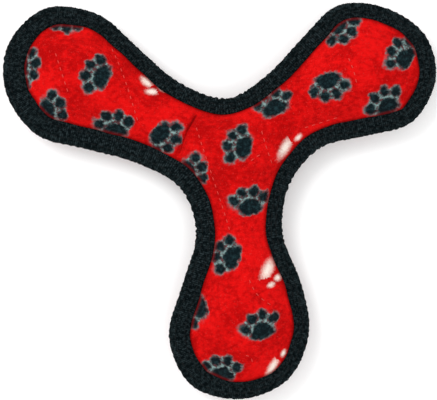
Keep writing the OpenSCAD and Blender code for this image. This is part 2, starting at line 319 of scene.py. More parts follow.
class Edge:
    """The toy's closed outline at even steps, clockwise, with its inward directions and leaf widths."""

    def __init__(self, count):
        rows = smooth_loop(OUTLINE, count)
        self.count = count
        self.place = rows[:, :2]
        self.front = rows[:, 2] + 0.3 * wander(count, (23, 37, 51), 3)
        self.back = rows[:, 3] + 0.3 * wander(count, (21, 33, 55), 4)
        ahead = np.roll(self.place, -1, axis=0) - np.roll(self.place, 1, axis=0)
        step = np.linalg.norm(ahead, axis=1)
        self.length = step.sum() / 2
        self.along = ahead / step[:, None]
        self.inward = np.stack([self.along[:, 1], -self.along[:, 0]], axis=1)
        before, after = np.roll(self.along, 1, axis=0), np.roll(self.along, -1, axis=0)
        turning = before[:, 1] * after[:, 0] - before[:, 0] * after[:, 1]
        window = max(1, round(count * 8 / self.length))
        kernel = np.ones(window) / window
        padded = np.concatenate([turning[-window:], turning, turning[:window]])
        self.bend = np.convolve(padded, kernel, "same")[window:-window] / step
        self.tree = kdtree.KDTree(count)
        for k, p in enumerate(self.place):
            self.tree.insert((p[0], p[1], 0), k)
        self.tree.balance()

    def leaf(self, side):
        """Width of the leaf on the front, side 1, or the back, side -1."""
        return self.front if side > 0 else self.back

    def inset(self, width):
        """The outline moved inwards by a width."""
        return self.place + self.inward * np.broadcast_to(width, self.count)[:, None]

    def locate(self, points):
        """How far inside the outline each point lies, and the station it is nearest to."""
        near = np.array([self.tree.find((p[0], p[1], 0))[1] for p in points])
        return np.sum((points - self.place[near]) * self.inward[near], axis=1), near


OUTLINE = outline_rows()
EDGE = Edge(1600)
# Centre of each lobe, over its squeaker
LOBES = [sum(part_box(arm + "_squeaker_whistle"), Vector()).xy / 2 / MM for arm in ARMS]


# ---------------------------------------------------------------- flat panels and their heights

def smoothstep(x, low, high):
    """0 below low, 1 above high, and a smooth ramp between them."""
    t = np.clip((x - low) / (high - low), 0, 1)
    return t * t * (3 - 2 * t)


def spaced(line, step):
    """Points about a step apart along an open line."""
    line = np.array(line, float)
    run = np.concatenate([[0], np.cumsum(np.linalg.norm(np.diff(line, axis=0), axis=1))])
    count = max(2, round(run[-1] / step) + 1)
    even = np.linspace(0, run[-1], count)
    return np.column_stack([np.interp(even, run, line[:, k]) for k in range(line.shape[1])])


def rounded(line, step):
    """An open line through given points, with its corners eased, at about a step apart."""
    line = np.array(line, float)
    for _ in range(3):
        cut = [line[0]]
        for a, b in zip(line[:-1], line[1:]):
            cut += [a * 0.75 + b * 0.25, a * 0.25 + b * 0.75]
        line = np.array(cut + [line[-1]])
    return spaced(line, step)


def loop_points(edge_line, step):
    """Points about a step apart on a closed line."""
    closed = np.vstack([edge_line, edge_line[:1]])
    return spaced(closed, step)[:-1]


def filled_panel(outer_width, rings, lines, step):
    """Points and triangles of a flat panel cut to an inset of the outline.

    The panel has points along its edge, along each ring and along each open line, and an even
    triangular grid of a step's spacing everywhere else.
    """
    chains = [(loop_points(EDGE.inset(outer_width), step), True)]
    chains += [(loop_points(ring, step), True) for ring in rings]
    chains += [(spaced(line, step), False) for line in lines]
    points, links = [], []
    for chain, closed in chains:
        first = len(points)
        points += [tuple(p) for p in chain]
        links += [(first + k, first + k + 1) for k in range(len(chain) - 1)]
        if closed:
            links.append((len(points) - 1, first))
    near = kdtree.KDTree(len(points))
    for k, p in enumerate(points):
        near.insert((p[0], p[1], 0), k)
    near.balance()
    low, high = EDGE.place.min(axis=0), EDGE.place.max(axis=0)
    xs, ys = np.arange(low[0], high[0], step), np.arange(low[1], high[1], step * 0.866)
    grid = np.array([(x + (row % 2) * step / 2, y) for row, y in enumerate(ys) for x in xs])
    inset, station = EDGE.locate(grid)
    width = np.broadcast_to(outer_width, EDGE.count)[station]
    grid = grid[inset > width + step * 0.5]
    points += [(x, y) for x, y in grid if near.find((x, y, 0))[2] > step * 0.62]
    places, _, triangles, *_ = geometry.delaunay_2d_cdt([Vector(p) for p in points], links, [], 1, 1e-4)
    places, triangles = np.array([tuple(p) for p in places]), np.array(triangles)
    a, b, c = (places[triangles[:, k]] for k in range(3))
    area = (b[:, 0] - a[:, 0]) * (c[:, 1] - a[:, 1]) - (b[:, 1] - a[:, 1]) * (c[:, 0] - a[:, 0])
    triangles[area < 0] = triangles[area < 0][:, ::-1]
    return places, triangles


def edges_of(triangles):
    """Each triangle edge in both directions, once each."""
    pairs = np.concatenate([triangles[:, [0, 1]], triangles[:, [1, 2]], triangles[:, [2, 0]]])
    return np.unique(np.vstack([pairs, pairs[:, ::-1]]), axis=0)


def relaxed(height, triangles, free, rounds, push=0.0):
    """Heights with each free point moved towards the mean of its neighbours, plus a push."""
    pairs = edges_of(triangles)
    count = np.bincount(pairs[:, 0], minlength=len(height))
    for _ in range(rounds):
        mean = np.bincount(pairs[:, 0], height[pairs[:, 1]], len(height)) / np.maximum(count, 1)
        height = np.where(free, mean + push, height)
    return height


def membrane(places, triangles, leaf):
    """Heights of a sheet held at the tape's inner edge and blown up evenly, 1 at the highest point."""
    inset, station = EDGE.locate(places)
    height = relaxed(np.zeros(len(places)), triangles, inset > leaf[station] + 0.05, 700, push=0.01)
    return height / height.max()


def reach_to_line(places, line):
    """Distance from each point to an open line, the side it lies on, and how far along it is."""
    best = np.full(len(places), 1e9)
    side = np.zeros(len(places))
    run = np.zeros(len(places))
    start = 0.0
    for a, b in zip(line[:-1], line[1:]):
        span = b - a
        size = np.linalg.norm(span)
        t = np.clip((places - a) @ span / size ** 2, 0, 1)
        off = places - a - t[:, None] * span
        distance = np.linalg.norm(off, axis=1)
        closer = distance < best
        best[closer] = distance[closer]
        side[closer] = np.sign(span[0] * off[closer, 1] - span[1] * off[closer, 0])
        run[closer] = start + t[closer] * size
        start += size
    return best, side, run / start


def turned_rows(offsets, angle):
    """Parallel straight rows across the whole outline, at each offset from the hub."""
    along = np.array([math.sin(angle), -math.cos(angle)])
    across = np.array([math.cos(angle), math.sin(angle)])
    rows = []
    for offset in offsets:
        line = spaced([across * offset - along * 190, across * offset + along * 190], 2.0)
        inset, station = EDGE.locate(line)
        inside = inset > EDGE.back[station] + 3
        runs = np.split(np.arange(len(line)), np.where(np.diff(inside.astype(int)) != 0)[0] + 1)
        rows += [line[run] for run in runs if inside[run[0]] and len(run) > 6]
    return rows


def quilting_rows(side):
    """The rows of quilting of one face, as open lines."""
    if side > 0:
        return [rounded(row, 1.0) for row in FRONT_QUILTING]
    return turned_rows(BACK_ROWS, QUILT_TILT) + turned_rows(BACK_CROSS_ROWS, QUILT_TILT - math.pi / 2)


def fold_lines(side):
    """The folds of one face: line, depth, width and height of the roll beside it."""
    folds = FRONT_FOLDS if side > 0 else BACK_FOLDS
    return [(rounded(points, 1.0), *shape) for points, *shape in folds]


def lumps(places, seed):
    """Soft unevenness of the filling, of about unit size."""
    sizes = ((34, 0.6), (17, 0.3), (8, 0.14))
    return np.array([
        sum(share * noise.noise((x / size, y / size, seed + size)) for size, share in sizes)
        for x, y in places
    ]) * 2


class Face:
    """One face of the toy: a flat panel with the height of its outside at every point."""

    def __init__(self, side, fabric, lift, pillow):
        self.side = side
        self.folds = fold_lines(side)
        leaf = EDGE.leaf(side)
        rings = [EDGE.inset(leaf), EDGE.inset(leaf + 0.55)]
        lines = [fold[0] for fold in self.folds]
        self.places, self.triangles = filled_panel(PANEL_INSET, rings, lines, fabric.grid / MM)
        self.inset, station = EDGE.locate(self.places)
        self.free = self.inset - leaf[station]
        cover = (fabric.fleece + fabric.canvas) / MM
        under_tape = cover + lift * np.clip(self.inset / leaf[station], 0, 1) ** 2
        rise = (fabric.lobe_rise if side > 0 else fabric.back_rise) / MM
        swell = sample(pillow, self.places) * rise
        height = np.where(self.free > 0.05, cover + lift + swell, under_tape)
        height = relaxed(height, self.triangles, self.free > 0.3, 10)
        self.height = height + self.detail(fabric)
        if side < 0:
            self.height = pressed_flat(self.height)
        self.tree = BVHTree.FromPolygons(
            [(x, y, h) for (x, y), h in zip(self.places, self.height)], self.triangles.tolist())

    def detail(self, fabric):
        """Lumps, quilting valleys, folds and the gathers at the tape, as changes of height."""
        inner = smoothstep(self.free, 0.3, 7)
        change = fabric.lump / MM * lumps(self.places, 5 + self.side) * inner
        for row in quilting_rows(self.side):
            distance, _, run = reach_to_line(self.places, row)
            depth = fabric.quilt_depth / MM * smoothstep(np.minimum(run, 1 - run), -0.05, 0.06)
            change -= depth * np.exp(-(distance / 2.2) ** 2) * smoothstep(self.free, 0.3, 5)
        for line, depth, width, roll in self.folds:
            distance, on_left, run = reach_to_line(self.places, line)
            ends = smoothstep(np.minimum(run, 1 - run), 0, 0.18) * smoothstep(self.free, 0.2, 2)
            change -= depth * np.exp(-(distance / width) ** 1.5) * ends
            beside = np.where(on_left > 0, 1.0, 0.55)
            change += roll * beside * np.exp(-((distance - 2.6 * width) / (1.6 * width)) ** 2) * ends
        _, station = EDGE.locate(self.places)
        gathers = 0.3 * wander(EDGE.count, (83, 109, 131, 157), 11 + self.side)
        held = np.exp(-(np.maximum(self.free - 1.5, 0) / 4.5) ** 2) * smoothstep(self.free, 0.2, 1.5)
        return change + gathers[station] * held

    def shelter(self, places):
        """How far each place lies from the tape's inner edge, and from the nearest deep fold, which set the
        fleece's painted shade.
        """
        inset, station = EDGE.locate(places)
        to_fold = np.full(len(places), 9.0)
        for line, depth, _, _ in self.folds:
            distance, _, run = reach_to_line(places, line)
            # The painted shade fades out at the fold's ends and along its later part
            fading = 3 * (1 - smoothstep(np.minimum(run, 1 - run), 0, 0.12)) + 0.8 * smoothstep(run, 0.3, 0.7)
            to_fold = np.minimum(to_fold, distance + 0.6 * max(0, 2.2 - depth) + fading)
        return np.column_stack([inset - EDGE.leaf(self.side)[station], to_fold])

    def height_at(self, places):
        """Height of the outside at any places, or the height at the edge outside the panel."""
        edge_height = float(self.height[self.inset < 1.5].mean())
        found = []
        for x, y in places:
            hit = self.tree.ray_cast((x, y, 100), (0, 0, -1))[0]
            found.append(hit.z if hit is not None else edge_height)
        return np.array(found)


def pressed_flat(height):
    """Heights of the back, with what would sink into the floor pressed flat against it."""
    ease = 0.7
    over = SEAM - height
    return SEAM - 0.5 * (over + np.sqrt(over * over + ease * ease))


def sample(pillow, places):
    """Height of the blown pillow's sheet over each place, from 0 to about 1."""
    points, triangles = pillow
    tree = BVHTree.FromPolygons(points.tolist(), triangles.tolist())
    found = []
    for x, y in places:
        hit = tree.ray_cast((x, y, 10), (0, 0, -1), 20)[0]
        found.append(max(hit.z, 0.0) if hit is not None else 0.0)
    return np.array(found)


def pillow_sheets(fabric):
    """The two flat sheets of the pillow with a blown-up starting height, front and then back."""
    sheets = []
    for side in (1, -1):
        leaf = EDGE.leaf(side)
        places, triangles = filled_panel(leaf, [], [], fabric.cloth_grid / MM)
        sheets.append((places, triangles, membrane(places, triangles, leaf)))
    return sheets


def blown_pillow(fabric):
    """Both sheets of a pillow blown up by cloth simulation, as unit heights over the tape's edge.

    The pillow is closed by a band under the tape, and the points of that band are held.
    """
    sheets = pillow_sheets(fabric)
    rises = (fabric.lobe_rise / MM, fabric.back_rise / MM)
    start, gap = 0.86, 2.4
    points, faces = [], []
    for (places, triangles, height), rise, side in zip(sheets, rises, (1, -1)):
        first = len(points)
        points += [(x, y, side * (gap + h * rise * start)) for (x, y), h in zip(places, height)]
        order = triangles if side > 0 else triangles[:, ::-1]
        faces += (order + first).tolist()
    loops = [len(loop_points(EDGE.inset(EDGE.leaf(side)), fabric.cloth_grid / MM)) for side in (1, -1)]
    second = len(sheets[0][0])
    faces += band_faces(loops[0], loops[1], second)
    mesh = bpy.data.meshes.new("pillow")
    mesh.from_pydata([tuple(c * MM for c in p) for p in points], [], faces)
    mesh.update()
    pillow = bpy.data.objects.new("pillow", mesh)
    bpy.context.scene.collection.objects.link(pillow)
    held = pillow.vertex_groups.new(name="held")
    held.add(list(range(loops[0])) + list(range(second, second + loops[1])), 1.0, "REPLACE")
    settled = simulated(pillow, held.name, fabric)
    bpy.data.objects.remove(pillow)
    cap = 6.0
    moved = settled / MM - np.array(points)
    far = np.linalg.norm(moved, axis=1)
    moved *= (np.minimum(far, cap) / np.maximum(far, 1e-9))[:, None]
    points = np.array(points) + moved
    blown = []
    for (places, triangles, _), side, first in zip(sheets, (1, -1), (0, second)):
        part = points[first:first + len(places)] * (1, 1, side)
        part[:, 2] = np.maximum(part[:, 2] - gap, 0)
        part[:, 2] /= np.percentile(part[:, 2], 99.5)
        blown.append((part, triangles))
    return blown


def band_faces(front_count, back_count, second):
    """Triangles of the band between two closed loops that start at the same station."""
    faces = []
    i = j = 0
    while i < front_count or j < back_count:
        if j >= back_count or (i < front_count and i / front_count <= j / back_count):
            faces.append((i % front_count, second + j % back_count, (i + 1) % front_count))
            i += 1
        else:
            faces.append((i % front_count, second + j % back_count, second + (j + 1) % back_count))
            j += 1
    return faces


def simulated(pillow, held, fabric):
    """Places of the pillow's points after its cloth has settled under pressure."""
    cloth = pillow.modifiers.new("cloth", "CLOTH")
    cloth.settings.quality = 6
    cloth.settings.mass = 0.2
    cloth.settings.tension_stiffness = 12
    cloth.settings.compression_stiffness = 12
    cloth.settings.shear_stiffness = 5
    cloth.settings.bending_stiffness = 0.4
    cloth.settings.vertex_group_mass = held
    cloth.settings.use_pressure = True
    cloth.settings.uniform_pressure_force = fabric.pressure
    cloth.settings.effector_weights.gravity = 0
    cloth.point_cache.frame_start = 1
    cloth.point_cache.frame_end = fabric.frames
    scene = bpy.context.scene
    for number in range(1, fabric.frames + 1):
        scene.frame_set(number)
    evaluated = pillow.evaluated_get(bpy.context.evaluated_depsgraph_get())
    places = np.empty(len(evaluated.data.vertices) * 3)
    evaluated.data.vertices.foreach_get("co", places)
    scene.frame_set(1)
    return places.reshape(-1, 3)


# ---------------------------------------------------------------- making meshes

def make_piece(name, points, faces, material, body=BODY):
    """A smooth-shaded mesh piece that rides on a body, from points in millimetres."""
    mesh = bpy.data.meshes.new(name)
    mesh.from_pydata((np.asarray(points) * MM).tolist(), [], [list(f) for f in faces])
    mesh.shade_smooth()
    mesh.materials.append(material)
    mesh.validate()
    piece = bpy.data.objects.new(name, mesh)
    bpy.context.scene.collection.objects.link(piece)
    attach(piece, body)
    return piece


def rim_edges(triangles):
    """Edges that only one triangle has, in that triangle's direction."""
    pairs = np.concatenate([triangles[:, [0, 1]], triangles[:, [1, 2]], triangles[:, [2, 0]]])
    have = {tuple(p) for p in pairs.tolist()}
    return [(a, b) for a, b in pairs.tolist() if (b, a) not in have]


def slab(places, triangles, top, bottom):
    """Points and faces of the closed solid between two heights over one flat panel."""
    count = len(places)
    points = np.vstack([np.column_stack([places, top]), np.column_stack([places, bottom])])
    walls = [(b, a, a + count, b + count) for a, b in rim_edges(triangles)]
    faces = triangles.tolist() + (triangles[:, ::-1] + count).tolist() + walls
    return points, faces


def layer(face, outside, inside):
    """Points and faces of one cloth layer of a face, between two depths under its outside."""
    upper = SEAM + face.side * (face.height - outside)
    lower = SEAM + face.side * (face.height - inside)
    top, bottom = (upper, lower) if face.side > 0 else (lower, upper)
    return slab(face.places, face.triangles, top, bottom)


def add_uv(mesh, name, values):
    """A named UV layer with one pair of values per face corner."""
    mesh.uv_layers.new(name=name).data.foreach_set("uv", np.asarray(values, np.float32).ravel())


def corner_arrays(mesh):
    """For every face corner: its point's place in millimetres and its face's middle, seen from above."""
    count = len(mesh.loops)
    vertex = np.empty(count, int)
    mesh.loops.foreach_get("vertex_index", vertex)
    places = np.empty(len(mesh.vertices) * 3)
    mesh.vertices.foreach_get("co", places)
    places = places.reshape(-1, 3)[:, :2] / MM
    middles = np.empty(len(mesh.polygons) * 3)
    mesh.polygons.foreach_get("center", middles)
    middles = middles.reshape(-1, 3)[:, :2] / MM
    sizes = np.empty(len(mesh.polygons), int)
    mesh.polygons.foreach_get("loop_total", sizes)
    return places[vertex], np.repeat(middles, sizes, axis=0)


def nearest_motif(corners, middles, motifs, barred=None):
    """Each corner's place as seen from the motif nearest to its face: x across it and y along it."""
    centres = np.array([m[:2] for m in motifs])
    distance = np.linalg.norm(middles[:, None, :] - centres[None], axis=2)
    if barred is not None:
        number, beyond = barred
        distance[beyond, number] = 1e6
    pick = np.argmin(distance, axis=1)
    angle = np.radians(np.array([m[2] for m in motifs]))[pick]
    rel = corners - centres[pick]
    along = rel[:, 0] * np.cos(angle) + rel[:, 1] * np.sin(angle)
    across = rel[:, 0] * np.sin(angle) - rel[:, 1] * np.cos(angle)
    return across, along, pick


def scattered(step, seed, extra):
    """Motifs for the back: a loose grid over the outline's box with seeded shifts and angles."""
    draw = random.Random(seed)
    low, high = EDGE.place.min(axis=0), EDGE.place.max(axis=0)
    motifs = []
    for row, y in enumerate(np.arange(low[1], high[1] + step, step * 0.8)):
        for x in np.arange(low[0] + (row % 2) * step / 2, high[0] + step, step):
            shift = (draw.uniform(-0.1, 0.1) * step, draw.uniform(-0.1, 0.1) * step)
            motifs.append((x + shift[0], y + shift[1], draw.uniform(0, 360), *extra(draw)))
    return motifs


def twisted_stitch(a, b, up, radius, arch):
    """Rings of points of a two-ply stitch that rises out of the cloth at a and sinks in again at b."""
    rings, sides = 11, 8
    t = np.linspace(0, 1, rings)
    along = (b - a) / np.linalg.norm(b - a)
    aside = np.cross(along, up)
    middle = a + (b - a) * t[:, None] + np.outer(arch * (1 - np.abs(2 * t - 1) ** 3) - radius * 0.9, up)
    theta = np.linspace(0, TAU, sides, endpoint=False)
    plies = 1 + 0.17 * np.cos(2 * theta[None, :] - 5.5 * math.pi * t[:, None])
    size = radius * plies * (1 - 0.3 * np.abs(2 * t - 1) ** 5)[:, None]
    ring = np.cos(theta)[None, :, None] * aside + np.sin(theta)[None, :, None] * up
    return (middle[:, None, :] + size[:, :, None] * ring).reshape(-1, 3), rings, sides


def stitch_piece(name, stitches, ups, radius, arch, material):
    """A row of separate stitches as one piece."""
    points, faces = [], []
    for (a, b), up in zip(stitches, ups):
        rows, rings, sides = twisted_stitch(np.array(a), np.array(b), np.array(up), radius, arch)
        rows[:, 2] = np.maximum(rows[:, 2], 0.01)
        first = len(points)
        points += rows.tolist()
        for r in range(rings - 1):
            for s in range(sides):
                n = (s + 1) % sides
                low, high = first + r * sides, first + (r + 1) * sides
                faces.append((low + s, low + n, high + n, high + s))
        faces.append(tuple(first + s for s in reversed(range(sides))))
        faces.append(tuple(first + (rings - 1) * sides + s for s in range(sides)))
    return make_piece(name, points, faces, material)


def lathe(profile, centre, sides=72, ripple=None):
    """Points and faces of a closed profile of (radius, height) turned about an upright line."""
    profile = np.array(profile, float)
    theta = np.linspace(0, TAU, sides, endpoint=False)
    radius = np.repeat(profile[None, :, 0], sides, axis=0)
    height = np.repeat(profile[None, :, 1], sides, axis=0)
    if ripple is not None:
        radius, height = ripple(radius, height, theta[:, None])
    points = np.stack([centre[0] + radius * np.cos(theta)[:, None],
                       centre[1] + radius * np.sin(theta)[:, None], height], axis=2).reshape(-1, 3)
    count = len(profile)
    faces = []
    for k in range(sides):
        n = (k + 1) % sides
        for c in range(count):
            d = (c + 1) % count
            faces.append((k * count + c, n * count + c, n * count + d, k * count + d))
    return points, faces


# ---------------------------------------------------------------- shader building blocks

def place(tree, kind, inputs=None, **settings):
    """A new shader node with its settings and inputs; an input given as a socket is linked to it."""
    node = tree.nodes.new("ShaderNode" + kind)
    for name, value in settings.items():
        setattr(node, name, value)
    for name, value in (inputs or {}).items():
        if isinstance(value, bpy.types.NodeSocket):
            tree.links.new(value, node.inputs[name])
        else:
            node.inputs[name].default_value = value
    return node


def calc(tree, operation, *values):
    """Result of a Math node."""
    return place(tree, "Math", dict(enumerate(values)), operation=operation).outputs[0]


def vector_calc(tree, operation, *values):
    """Result of a Vector Math node."""
    node = place(tree, "VectorMath", dict(enumerate(values)), operation=operation)
    return node.outputs["Value" if operation in ("LENGTH", "DISTANCE", "DOT_PRODUCT") else "Vector"]


def ramp(tree, value, low, high, at_low=0.0, at_high=1.0):
    """A smooth step between two limits."""
    inputs = {"Value": value, "From Min": low, "From Max": high, "To Min": at_low, "To Max": at_high}
    return place(tree, "MapRange", inputs, interpolation_type="SMOOTHSTEP").outputs["Result"]


def blend(tree, share, first, second):
    """Mix of two colours."""
    return place(tree, "Mix", {0: share, 6: first, 7: second}, data_type="RGBA").outputs[2]


def clouds(tree, vector, scale, detail=2.0, roughness=0.5):
    """Value of a Noise node."""
    inputs = {"Vector": vector, "Scale": scale, "Detail": detail, "Roughness": roughness}
    return place(tree, "TexNoise", inputs).outputs["Fac"]


def in_millimetres(tree):
    """Places on the object, in millimetres."""
    spot = place(tree, "TexCoord").outputs["Object"]
    return vector_calc(tree, "MULTIPLY", spot, (1000, 1000, 1000))


def new_group(name, inputs, outputs):
    """An empty node group with named inputs and outputs, and its two end nodes."""
    tree = bpy.data.node_groups.new(name, "ShaderNodeTree")
    for label, kind, default in inputs:
        socket = tree.interface.new_socket(name=label, in_out="INPUT", socket_type="NodeSocket" + kind)
        if default is not None:
            socket.default_value = default
    for label, kind in outputs:
        tree.interface.new_socket(name=label, in_out="OUTPUT", socket_type="NodeSocket" + kind)
    return tree, tree.nodes.new("NodeGroupInput").outputs, tree.nodes.new("NodeGroupOutput").inputs


def use_group(tree, name, **inputs):
    """Outputs of a shared group placed in a material; the input names have _ for a space."""
    node = tree.nodes.new("ShaderNodeGroup")
    node.node_tree = bpy.data.node_groups[name]
    for label, value in inputs.items():
        socket = node.inputs[label.replace("_", " ")]
        if isinstance(value, bpy.types.NodeSocket):
            tree.links.new(value, socket)
        else:
            socket.default_value = value
    return node.outputs


def new_material(name, roughness, **sockets):
    """A material with a Principled shader whose constant values are set on its own sockets."""
    material = bpy.data.materials.new(name)
    material.use_nodes = True
    tree = material.node_tree
    shader = tree.nodes["Principled BSDF"]
    shader.inputs["Roughness"].default_value = roughness
    for label, value in sockets.items():
        shader.inputs[label.replace("_", " ")].default_value = value
    return material, tree, shader


def finish_surface(tree, shader, colour, height, distance, strength=1.0, roughness=None):
    """Links colour, bump height and roughness to a Principled shader."""
    tree.links.new(colour, shader.inputs["Base Color"])
    bump = place(tree, "Bump", {"Height": height, "Distance": distance * MM, "Strength": strength})
    tree.links.new(bump.outputs["Normal"], shader.inputs["Normal"])
    if roughness is not None:
        tree.links.new(roughness, shader.inputs["Roughness"])


# ---------------------------------------------------------------- shared shader groups

def build_nap_group():
    """Brushed nap: fine tufts with broader patches where the pile lies another way."""
    tree, given, out = new_group(
        "Nap", [("Vector", "Vector", None), ("Tuft Scale", "Float", 0.9)],
        [("Height", "Float"), ("Shade", "Float")])
    fine = clouds(tree, given["Vector"], given["Tuft Scale"], 3.0, 0.6)
    stretched = vector_calc(tree, "MULTIPLY", given["Vector"], (0.8, 1.0, 0.9))
    streaks = clouds(tree, stretched, 0.4, 4.0, 0.62)
    broad = clouds(tree, given["Vector"], 0.045, 2.0)
    height = calc(tree, "ADD", calc(tree, "MULTIPLY", fine, 0.65), calc(tree, "MULTIPLY", streaks, 0.5))
    shade = calc(tree, "ADD", calc(tree, "MULTIPLY", streaks, 0.55), calc(tree, "MULTIPLY", broad, 0.45))
    tree.links.new(height, out["Height"])
    tree.links.new(shade, out["Shade"])


def build_weave_group():
    """Plain weave: threads that run along x and y and pass over each other by turns."""
    tree, given, out = new_group(
        "Weave", [("Vector", "Vector", None), ("Pitch", "Float", 0.6)],
        [("Height", "Float"), ("Gap", "Float")])
    stray = vector_calc(tree, "MULTIPLY_ADD",
                        place(tree, "TexNoise", {"Vector": given["Vector"], "Scale": 0.4}).outputs["Color"],
                        (0.4, 0.4, 0.4), given["Vector"])
    parts = place(tree, "SeparateXYZ", {"Vector": stray}).outputs
    phase = calc(tree, "DIVIDE", math.pi, given["Pitch"])
    x = calc(tree, "MULTIPLY", parts["X"], phase)
    y = calc(tree, "MULTIPLY", parts["Y"], phase)
    sines = calc(tree, "SINE", x), calc(tree, "SINE", y)
    over = calc(tree, "MULTIPLY", *sines)
    warp = calc(tree, "ABSOLUTE", calc(tree, "COSINE", x))
    weft = calc(tree, "ABSOLUTE", calc(tree, "COSINE", y))
    crossing = calc(tree, "MULTIPLY", warp, weft)
    tree.links.new(calc(tree, "SUBTRACT", calc(tree, "MULTIPLY", over, 0.5), crossing), out["Height"])
    # Gap marks the hollows between the threads, where the canvas paints shade
    tree.links.new(ramp(tree, crossing, 0.35, 0.95), out["Gap"])


def build_lint_group():
    """Lint and dust: a few pale specks and short fibres caught on the cloth."""
    tree, given, out = new_group(
        "Lint", [("Vector", "Vector", None), ("Amount", "Float", 0.5)], [("Mask", "Float")])
    specks = clouds(tree, given["Vector"], 1.1, 4.0, 0.7)
    patches = clouds(tree, given["Vector"], 0.06, 2.0)
    low = calc(tree, "SUBTRACT", 0.78, calc(tree, "MULTIPLY", given["Amount"], 0.14))
    spot = ramp(tree, specks, low, calc(tree, "ADD", low, 0.1))
    tree.links.new(calc(tree, "MULTIPLY", spot, ramp(tree, patches, 0.35, 0.65)), out["Mask"])


# Toes of the paw print: x and y from the pad's centre, and the lean of the toe in degrees
TOES = [(-8.6, 3.6, 45), (-3.3, 7.5, 14), (3.3, 7.5, -14), (8.6, 3.6, -45)]
TOE_SIZE = (3.2, 3.6, 1)
PAD_SIZE = (7.3, 4.9, 1)


def build_paw_group():
    """Paw print: a pad and four toes with ragged edges, a pale rim and grey gaps between them."""
    tree, given, out = new_group(
        "Paw print", [("Vector", "Vector", None), ("Ragged", "Vector", None)],
        [("Dark", "Float"), ("Rim", "Float"), ("Gap", "Float")])
    spot = given["Vector"]
    for scale, size in ((0.2, 3.2), (0.5, 1.7), (1.4, 0.6)):
        wobble = place(tree, "TexNoise", {"Vector": given["Ragged"], "Scale": scale, "Detail": 1.0})
        centred = vector_calc(tree, "SUBTRACT", wobble.outputs["Color"], (0.5, 0.5, 0.5))
        spot = vector_calc(tree, "MULTIPLY_ADD", centred, (size, size, 0), spot)
    gaps = []
    for x, y, lean in TOES:
        inputs = {"Vector": spot, "Location": (x, y, 0), "Rotation": (0, 0, math.radians(lean)),
                  "Scale": TOE_SIZE}
        local = place(tree, "Mapping", inputs, vector_type="TEXTURE").outputs[0]
        gaps.append(calc(tree, "MULTIPLY_ADD", vector_calc(tree, "LENGTH", local), 3.4, -3.4))
    inputs = {"Vector": spot, "Location": (0, -0.7, 0), "Scale": PAD_SIZE}
    local = place(tree, "Mapping", inputs, vector_type="TEXTURE").outputs[0]
    parts = place(tree, "SeparateXYZ", {"Vector": local})
    taper = calc(tree, "MULTIPLY_ADD", parts.outputs["Y"], 0.32, 1.0)
    narrowed = place(tree, "CombineXYZ",
                     {"X": calc(tree, "MULTIPLY", parts.outputs["X"], taper), "Y": parts.outputs["Y"]})
    gaps.append(calc(tree, "MULTIPLY_ADD", vector_calc(tree, "LENGTH", narrowed.outputs[0]), 6.0, -6.0))
    nearest, joined, glow = gaps[0], gaps[0], 0.0
    for gap in gaps:
        nearest = calc(tree, "MINIMUM", nearest, gap)
        joined = calc(tree, "SMOOTH_MIN", joined, gap, 4.0)
        glow = calc(tree, "ADD", glow, ramp(tree, gap, -0.4, 2.0, 1.0, 0.0))
    tree.links.new(ramp(tree, nearest, -1.5, 0.7, 1.0, 0.0), out["Dark"])
    tree.links.new(ramp(tree, joined, -1.3, 1.0, 1.0, 0.0), out["Rim"])
    tree.links.new(ramp(tree, glow, 0.7, 1.3), out["Gap"])


def build_groups():
    """Makes the shared shader groups."""
    for build in (build_nap_group, build_weave_group, build_lint_group, build_paw_group):
        build()


# ---------------------------------------------------------------- materials

